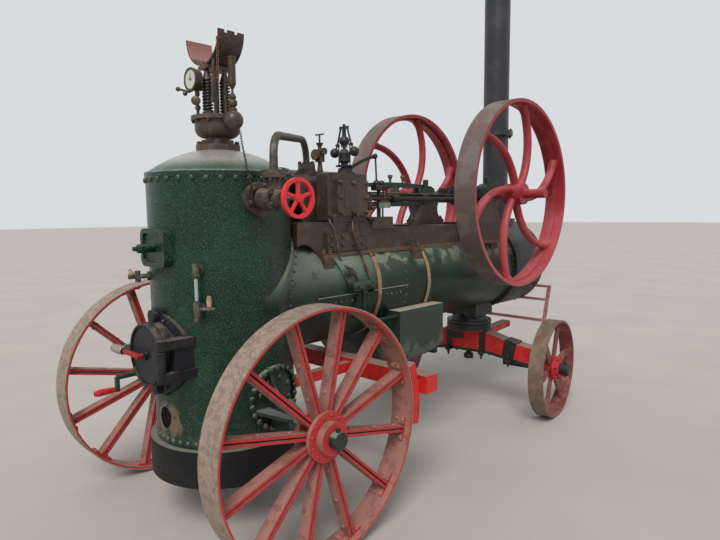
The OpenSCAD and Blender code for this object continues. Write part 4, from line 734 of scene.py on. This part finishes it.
class ENGINE_OT_engine_bolts(Operator):
    """Bolts on the chest, the cylinder, the bed, the bearings, the stop valve and the chimney's fold"""

    bl_idname = "engine.engine_bolts"
    bl_label = "Engine Bolts"

    def execute(self, context):
        cover = [(CHEST_X, CHEST_Y + across * 0.112, CHEST_Z + up * 0.089)
                 for across in (-1, 0, 1) for up in (-1, 0, 1) if across or up]
        panel = [(CHEST_X - 0.011, y, z) for y in (0.575, 0.665, 0.755, 0.84) for z in (1.47, 1.523)]
        feet = [(0.293, y + d, 1.426) for y in (0.52, 1.362, 2.374) for d in (-0.025, 0.025)]
        plate = [(CHEST_X + 0.0005, CHEST_Y + y, CHEST_Z) for y in (-0.076, 0, 0.076)]
        fitted("bed_bolts", "brown_casting", at_each(bolt(0.022, 0.008), cover, NEAR),
               carried(plate, flat(0.003, 0.12, 0.001)), at_each(bolt(0.016), panel, NEAR),
               both_sides(at_each(bolt(0.024, 0.012), feet, UP)))
        head = around((0.02, 0.419, SHAFT_Z), "y", 0.12, 10)[0]
        pad = around((0.062, 0.58, 1.96), "z", 0.042, 5, 20)[0]
        fitted("cylinder_studs", "oily_casting", at_each(bolt(0.022, 0.01), head, AFT),
               at_each(bolt(0.02, 0.002), pad, UP))
        parts = []
        for way, z, stud in ((0.088, SHAFT_Z + 0.026, 0.024), (0.188, 1.588, 0.01)):
            nuts = [(x, SHAFT_Y + s * way, z) for x in (0.278, 0.322) for s in (-1, 1)]
            parts.append(at_each(bolt(0.026, stud), nuts, UP))
        cup = [(0, 0.016), (0.012, 0.016), (0.014, 0.024), (0.052, 0.024), (0.056, 0.018), (0.058, 0.004)]
        parts.append(turned((0.3, SHAFT_Y, SHAFT_Z + 0.086), UP, cup, 20))
        fitted("bearing_nuts", "bearing_green", both_sides(*parts))
        bonnet = around((0.54, STOP_Y, STOP_Z), "x", 0.05, 6, 30)[0]
        flange = around((0.516, STOP_Y, STOP_Z + 0.1), "z", 0.046, 6)[0]
        stub = around((0.409, STOP_Y, STOP_Z), "x", 0.07, 6, 15)[0]
        fitted("stop_valve_nuts", "valve_bronze", at_each(bolt(0.02, 0.008), stub, NEAR),
               at_each(bolt(0.016, 0.006), bonnet, NEAR), at_each(bolt(0.016, 0.004), flange, DOWN),
               rod((0.576, STOP_Y, STOP_Z), (0.612, STOP_Y, STOP_Z), 0.02, 6),
               turned((0.548, STOP_Y, STOP_Z), NEAR, [(0, 0.046), (0.03, 0.03), (0.034, 0.028)], 24))
        for name, way, stud, body in (("low", -1, 0.003, ROOT), ("high", 1, 0.006, "chimney_top")):
            fold = around((0, CHIMNEY_Y, FOLD_Z + way * 0.022), "z", 0.131, 10, 18)[0]
            bolts = at_each(bolt(0.018, stud), fold, (0, 0, way))
            fitted(f"fold_bolts_{name}", "chimney_black", bolts, body=body)
        return {"FINISHED"}


class ENGINE_OT_small_pipes(Operator):
    """Feed pipes, cocks, oilers, the governor's lever and the small rods beside the engine"""

    bl_idname = "engine.small_pipes"
    bl_label = "Small Pipes And Rods"

    def execute(self, context):
        drain = [(0.255, 0.575, 1.64), (0.285, 0.562, 1.604), (0.3, 0.579, 1.56), (0.305, 0.602, 1.455),
                 (0.3, 0.63, 1.365), (0.33, 0.649, 1.339), (0.345, 0.684, 1.319), (0.362, 0.723, 1.246)]
        oil = [(0.255, 0.774, 1.645), (0.29, 0.75, 1.545), (0.298, 0.773, 1.463), (0.3, 0.81, 1.397),
               (0.335, 0.824, 1.307), (0.362, 0.83, 1.236)]
        fitted("drain_pipe", "pipe_grey", pipe(drain, 0.009))
        fitted("cock_pipe", "copper_pipe", pipe(oil, 0.008))
        cock = [(0, 0.01), (0.012, 0.01), (0.014, 0.015), (0.03, 0.015), (0.032, 0.008), (0.048, 0.008),
                (0.05, 0.013), (0.062, 0.013), (0.064, 0.004)]
        on_chest = [(0.25, 0.575, 1.646), (0.25, 0.774, 1.65), (0.262, 0.906, 1.69), (0.254, 0.928, 1.622)]
        on_pump = [(0.36, 0.653, 1.302), (0.392, 0.7, 1.216), (0.392, 0.79, 1.216)]
        link = [(0.29, 0.906, 1.76), (0.296, 0.906, 1.725), (0.292, 0.906, 1.692)]
        fitted("small_cocks", "gunmetal_brown", at_each(standing(cock, 12), on_chest, NEAR),
               pipe(link, 0.007), at_each(bolt(0.026, 0.012), on_pump, NEAR),
               rod((0.262, 1.055, 1.69), (0.262, 1.055, 1.622), 0.006))
        plate = [(0.262, y, 1.707) for y in (1.02, 1.075, 1.13)]
        fitted("pale_plate", "edge_highlight_and_pale_plate", carried(plate, flat(0.005, 0.034, 0.001)))
        lever = [(0.125, 0.905, 1.95), (0.12, 0.98, 1.985), (0.13, 1.055, 2.015), (0.15, 1.112, 2.034)]
        fork = [(0, 0.008), (0.01, 0.013), (0.03, 0.013), (0.04, 0.008)]
        cup = [(0, 0.02), (0.018, 0.024), (0.03, 0.018), (0.036, 0.004)]
        shelf = [(0.17, y, 1.822) for y in (1.07, 1.12, 1.175)]
        fitted("governor_lever", "soot_iron", carried(smooth_path(lever), flat(0.012, 0.022, 0.003)),
               rod((0.138, 1.105, 2.03), (0.164, 1.105, 2.034), 0.017),
               rod((0.15, 1.112, 2.02), (0.15, 1.121, 1.862), 0.006),
               rod((0.112, 0.905, 1.925), (0.112, 0.905, 1.962), 0.018),
               turned((0.15, 1.121, 1.88), (0, 0.05, -1), fork, 12),
               at_each(standing(cup, 16), [(0.17, 1.098, 1.838), (0.17, 1.148, 1.838)], UP),
               carried(shelf, flat(0.05, 0.034, 0.006)),
               rod((0.17, 1.12, 1.81), (0.17, 1.12, 1.56), 0.014))
        pot = [(0, 0.006), (0.012, 0.007), (0.014, 0.014), (0.036, 0.015), (0.04, 0.01)]
        fitted("red_oilers", "oiler_red",
               at_each(standing(pot, 16), [(0.19, 1.198, 1.774), (0.19, 1.229, 1.735)], UP),
               rod((0.19, 1.198, 1.776), (0.175, 1.16, 1.805), 0.004),
               rod((0.19, 1.229, 1.737), (0.175, 1.17, 1.78), 0.004))
        fitted("regulator_rod", "bright_steel", rod((0.2, 1.142, 1.79), (0.205, 2.02, 1.783), 0.0045),
               rod((0.2, 1.142, 1.755), (0.2, 1.142, 1.802), 0.009))
        return {"FINISHED"}


class ENGINE_OT_shell_fittings(Operator):
    """Grips of the cocks, latch and brake, the mud hole, nuts and studs, and the barrel bands' clips"""

    bl_idname = "engine.shell_fittings"
    bl_label = "Shell Fittings"

    def execute(self, context):
        grip = [(0, 0.007), (0.004, 0.012), (0.03, 0.014), (0.052, 0.011), (0.058, 0.003)]
        out, side = facing("z", GAUGE_TURN), facing("z", GAUGE_TURN + 90)
        try_out, try_side = facing("z", TRY_COCK_TURN), facing("z", TRY_COCK_TURN + 90)
        fitted("cock_grips", "pale_timber",
               turned(GAUGE_OUT * out + 0.06 * side + (0, 0, 1.218), UP, grip, 16),
               turned(TRY_COCK_OUT * try_out + 0.058 * try_side + (0, 0, 1.372), try_side, grip, 16))
        drain = [(0, 0.008), (0.004, 0.012), (0.01, 0.012), (0.014, 0.007), (0.03, 0.007), (0.032, 0.01)]
        plug = [(0, 0.007), (0.03, 0.007), (0.031, 0.015), (0.04, 0.012)]
        nut = [(-0.008, 0.016), (-0.006, 0.019), (0.006, 0.019), (0.008, 0.016)]
        fitted("gauge_nuts", "cock_bronze", turned(GAUGE_OUT * out + (0, 0, 1.176), DOWN, drain, 16),
               turned(0.42 * out + (0, 0, 1.16), out, plug, 6),
               *(turned(GAUGE_OUT * out + (0, 0, z), UP, nut, 6) for z in (1.238, 1.378)))
        held = [(0, 0.0175), (0.006, 0.021), (0.05, 0.024), (0.112, 0.021), (0.122, 0.0172), (0.127, 0.006)]
        latch = turned((-0.168, -0.507, FIRE_HOLE_Z), (-1, 0, 0), held, 20)
        fitted("latch_grip", "grey_grip", latch, body="fire_door")
        held = [(0, 0.0155), (0.014, 0.018), (0.08, 0.021), (0.1, 0.0165), (0.108, 0.006)]
        fitted("brake_grip", "red_grip", turned((-0.59, -0.396, 0.636), AFT, held, 20))
        # an oval on the shell: its angle is its width over the shell's radius
        (wide, tall), rings = disc(1.0, 32).T, []
        for share, rise in ((1.0, -0.004), (1.0, 0.004), (0.86, 0.004), (0.8, 0.0012), (0.02, 0.0012)):
            angle, radius = (MUD_HOLE[0] + share * 0.043 * wide) / SHELL_R, SHELL_R + rise
            height = MUD_HOLE[2] + share * 0.056 * tall
            rings.append(np.stack([radius * np.sin(angle), -radius * np.cos(angle), height], 1))
        fitted("mud_hole", "hole_dark", skin(np.array(rings)))
        nut = at_each(bolt(0.04, 0.02), (0, -0.458, HANDHOLE_Z), AFT)
        fitted("handhole_nut", "hammered_green_enamel", nut)
        catch = [(x, y, FIRE_HOLE_Z) for x, y in ((-0.188, -0.43), (-0.192, -0.47), (-0.188, -0.492))]
        studs = around((0, 0, FIRE_HOLE_Z), "y", 0.185, 8, 22)[0]
        studs[:, 1] = -np.sqrt((SHELL_R + 0.03) ** 2 - studs[:, 0] ** 2)
        fitted("door_irons", "stove_black", carried(catch, flat(0.016, 0.055, 0.003)),
               at_each(rivet(0.01), studs, studs * (1, 1, 0)))
        clips = []
        for y in BAND_YS:
            tongue = [(0.262, y, 1.412), (0.276, y, 1.404), (0.288, y, 1.388)]
            clips += [carried(tongue, flat(0.04, 0.012, 0.003)),
                      rod((0.282, y - 0.026, 1.402), (0.282, y + 0.026, 1.402), 0.006)]
        fitted("band_clips", "brass", both_sides(*clips))
        return {"FINISHED"}


class ENGINE_OT_wheel_trim(Operator):
    """Rivets on the rear wheels' spokes and hubs, bolts on the front wheels, and the rear linchpins"""

    bl_idname = "engine.wheel_trim"
    bl_label = "Wheel Rivets"

    def execute(self, context):
        head, pins = rivet(0.011), []
        pin = [(0, 0.004), (0.006, 0.007), (0.098, 0.007), (0.1, 0.013), (0.112, 0.013)]
        for name, side in (("right", 1), ("left", -1)):
            body, outward = f"rear_wheel_{name}", (side, 0, 0)
            axle = np.array([side * (REAR_X - REAR_W / 2), 0, REAR_R])
            parts = []
            for turn in FIRST_SPOKE + 360 / SPOKES * np.arange(SPOKES):
                out, across = facing("x", turn), facing("x", turn + 90)
                for way in (1, -1):
                    flank = axle + way * SPOKE_T / 2 * across
                    for radius in (0.2, 0.38, 0.545):
                        parts.append(at_each(head, flank + radius * out, way * across))
                    rim = facing("x", turn + way * FOOT_TURN)
                    for x in (-0.02, 0.02):
                        parts.append(at_each(head, axle + (REAR_R - 0.0285) * rim + (x, 0, 0), -rim))
            fitted(f"{body}_rivets", "wheel_red", *parts, body=body)
            spots = around(axle + (side * 0.053, 0, 0), "x", 0.103, SPOKES, FIRST_SPOKE)[0]
            fitted(f"{body}_hub_rivets", "hub_red", at_each(rivet(0.01), spots, outward), body=body)
            pins.append(turned((side * 0.908, 0, REAR_R - 0.056), UP, pin, 12))
            body = f"front_wheel_{name}"
            face = (side * (FRONT_X - FRONT_W / 2 + 0.009), 0, FRONT_R)
            rims = np.vstack([around(face, "x", 0.345, 6, first)[0] for first in (7, 13)])
            hub = around((side * (FRONT_X - 0.014), 0, FRONT_R), "x", 0.082, 6, 40)[0]
            trim = steered(at_each(head, rims, outward), at_each(bolt(0.018, 0.004), hub, outward))
            fitted(f"{body}_bolts", "front_wheel_red", trim, body=body)
        fitted("rear_linchpins", "forged_black", *pins)
        return {"FINISHED"}


class ENGINE_OT_timber_irons(Operator):
    """Iron sleeves with bolts round the front axle bed, its linchpins, and the brake shoes' back irons"""

    bl_idname = "engine.timber_irons"
    bl_label = "Timber Irons"

    def execute(self, context):
        irons = []
        pin = [(0, 0.005), (0.006, 0.008), (0.108, 0.008), (0.11, 0.014), (0.124, 0.014)]
        for side in (1, -1):
            for near, far, high, low, tall in ((0.129, 0.185, 0.551, 0.549, 0.18),
                                               (0.347, 0.447, 0.512, 0.4915, 0.148)):
                middle, base = side * (near + far) / 2, (high + low - tall) / 2
                ends = [(side * near, 0, high), (side * far, 0, low)]
                irons.append(carried(ends, flat(0.141, tall, 0.001)))
                for y in (-0.082, 0.082):
                    irons.append(rod((middle, y, base + 0.03), (middle, y, base - 0.066), 0.009))
                    irons.append(at_each(bolt(0.026), (middle, y, base - 0.024), DOWN))
                tie = [(middle, y, base - 0.016) for y in (-0.105, 0.105)]
                irons.append(carried(tie, flat(0.045, 0.016)))
            irons.append(turned((side * 0.842, 0, FRONT_R - 0.062), UP, pin, 12))
        # the iron below the bed follows its lower edge
        half = [(0.19, 0, 0.456), (0.42, 0, 0.421), (0.6, 0, 0.389)]
        under = [(-x, y, z) for x, y, z in reversed(half)] + half
        irons.append(carried(under, flat(0.134, 0.026)))
        irons.append(carried([(-0.15, 0, 0.592), (-0.02, 0, 0.592)], flat(0.142, 0.09)))
        fitted("axle_bed_irons", "forged_black", steered(*irons), body="fore_carriage")
        middle = (REAR_X - REAR_W / 2, 0, REAR_R)
        back = around(middle, "x", REAR_R + 0.061, 14, -11, 33)[0]
        ends = back[[1, -2]]
        fitted("brake_irons", "forged_black", both_sides(
            carried(back, flat(0.052, 0.007, 0.001), NEAR),
            at_each(bolt(0.024, 0.01), ends, ends * (0, 1, 1) - (0, 0, REAR_R))))
        return {"FINISHED"}


STEPS = (ENGINE_OT_stage, ENGINE_OT_paint, ENGINE_OT_boiler_rivets, ENGINE_OT_safety_fittings,
         ENGINE_OT_engine_bolts, ENGINE_OT_small_pipes, ENGINE_OT_shell_fittings, ENGINE_OT_wheel_trim,
         ENGINE_OT_timber_irons)


class ENGINE_PT_panel(Panel):
    """Lists what the dressing of the engine is made with"""

    bl_idname = "ENGINE_PT_panel"
    bl_label = "Portable Steam Engine"
    bl_space_type = "VIEW_3D"
    bl_region_type = "UI"
    bl_category = "Steam Engine"

    def draw(self, context):
        look = context.scene.engine_look
        for name in EngineLook.__annotations__:
            self.layout.prop(look, name)
        for kind in STEPS:
            self.layout.operator(kind.bl_idname)


CLASSES = (EngineLook,) + STEPS + (ENGINE_PT_panel,)


def register():
    for kind in CLASSES:
        bpy.utils.register_class(kind)
    Scene.engine_look = PointerProperty(type=EngineLook)


def unregister():
    del Scene.engine_look
    for kind in reversed(CLASSES):
        bpy.utils.unregister_class(kind)


def main():
    register()
    for kind in STEPS:
        group, name = kind.bl_idname.split(".")
        getattr(getattr(bpy.ops, group), name)()


if __name__ == "__main__":
    main()
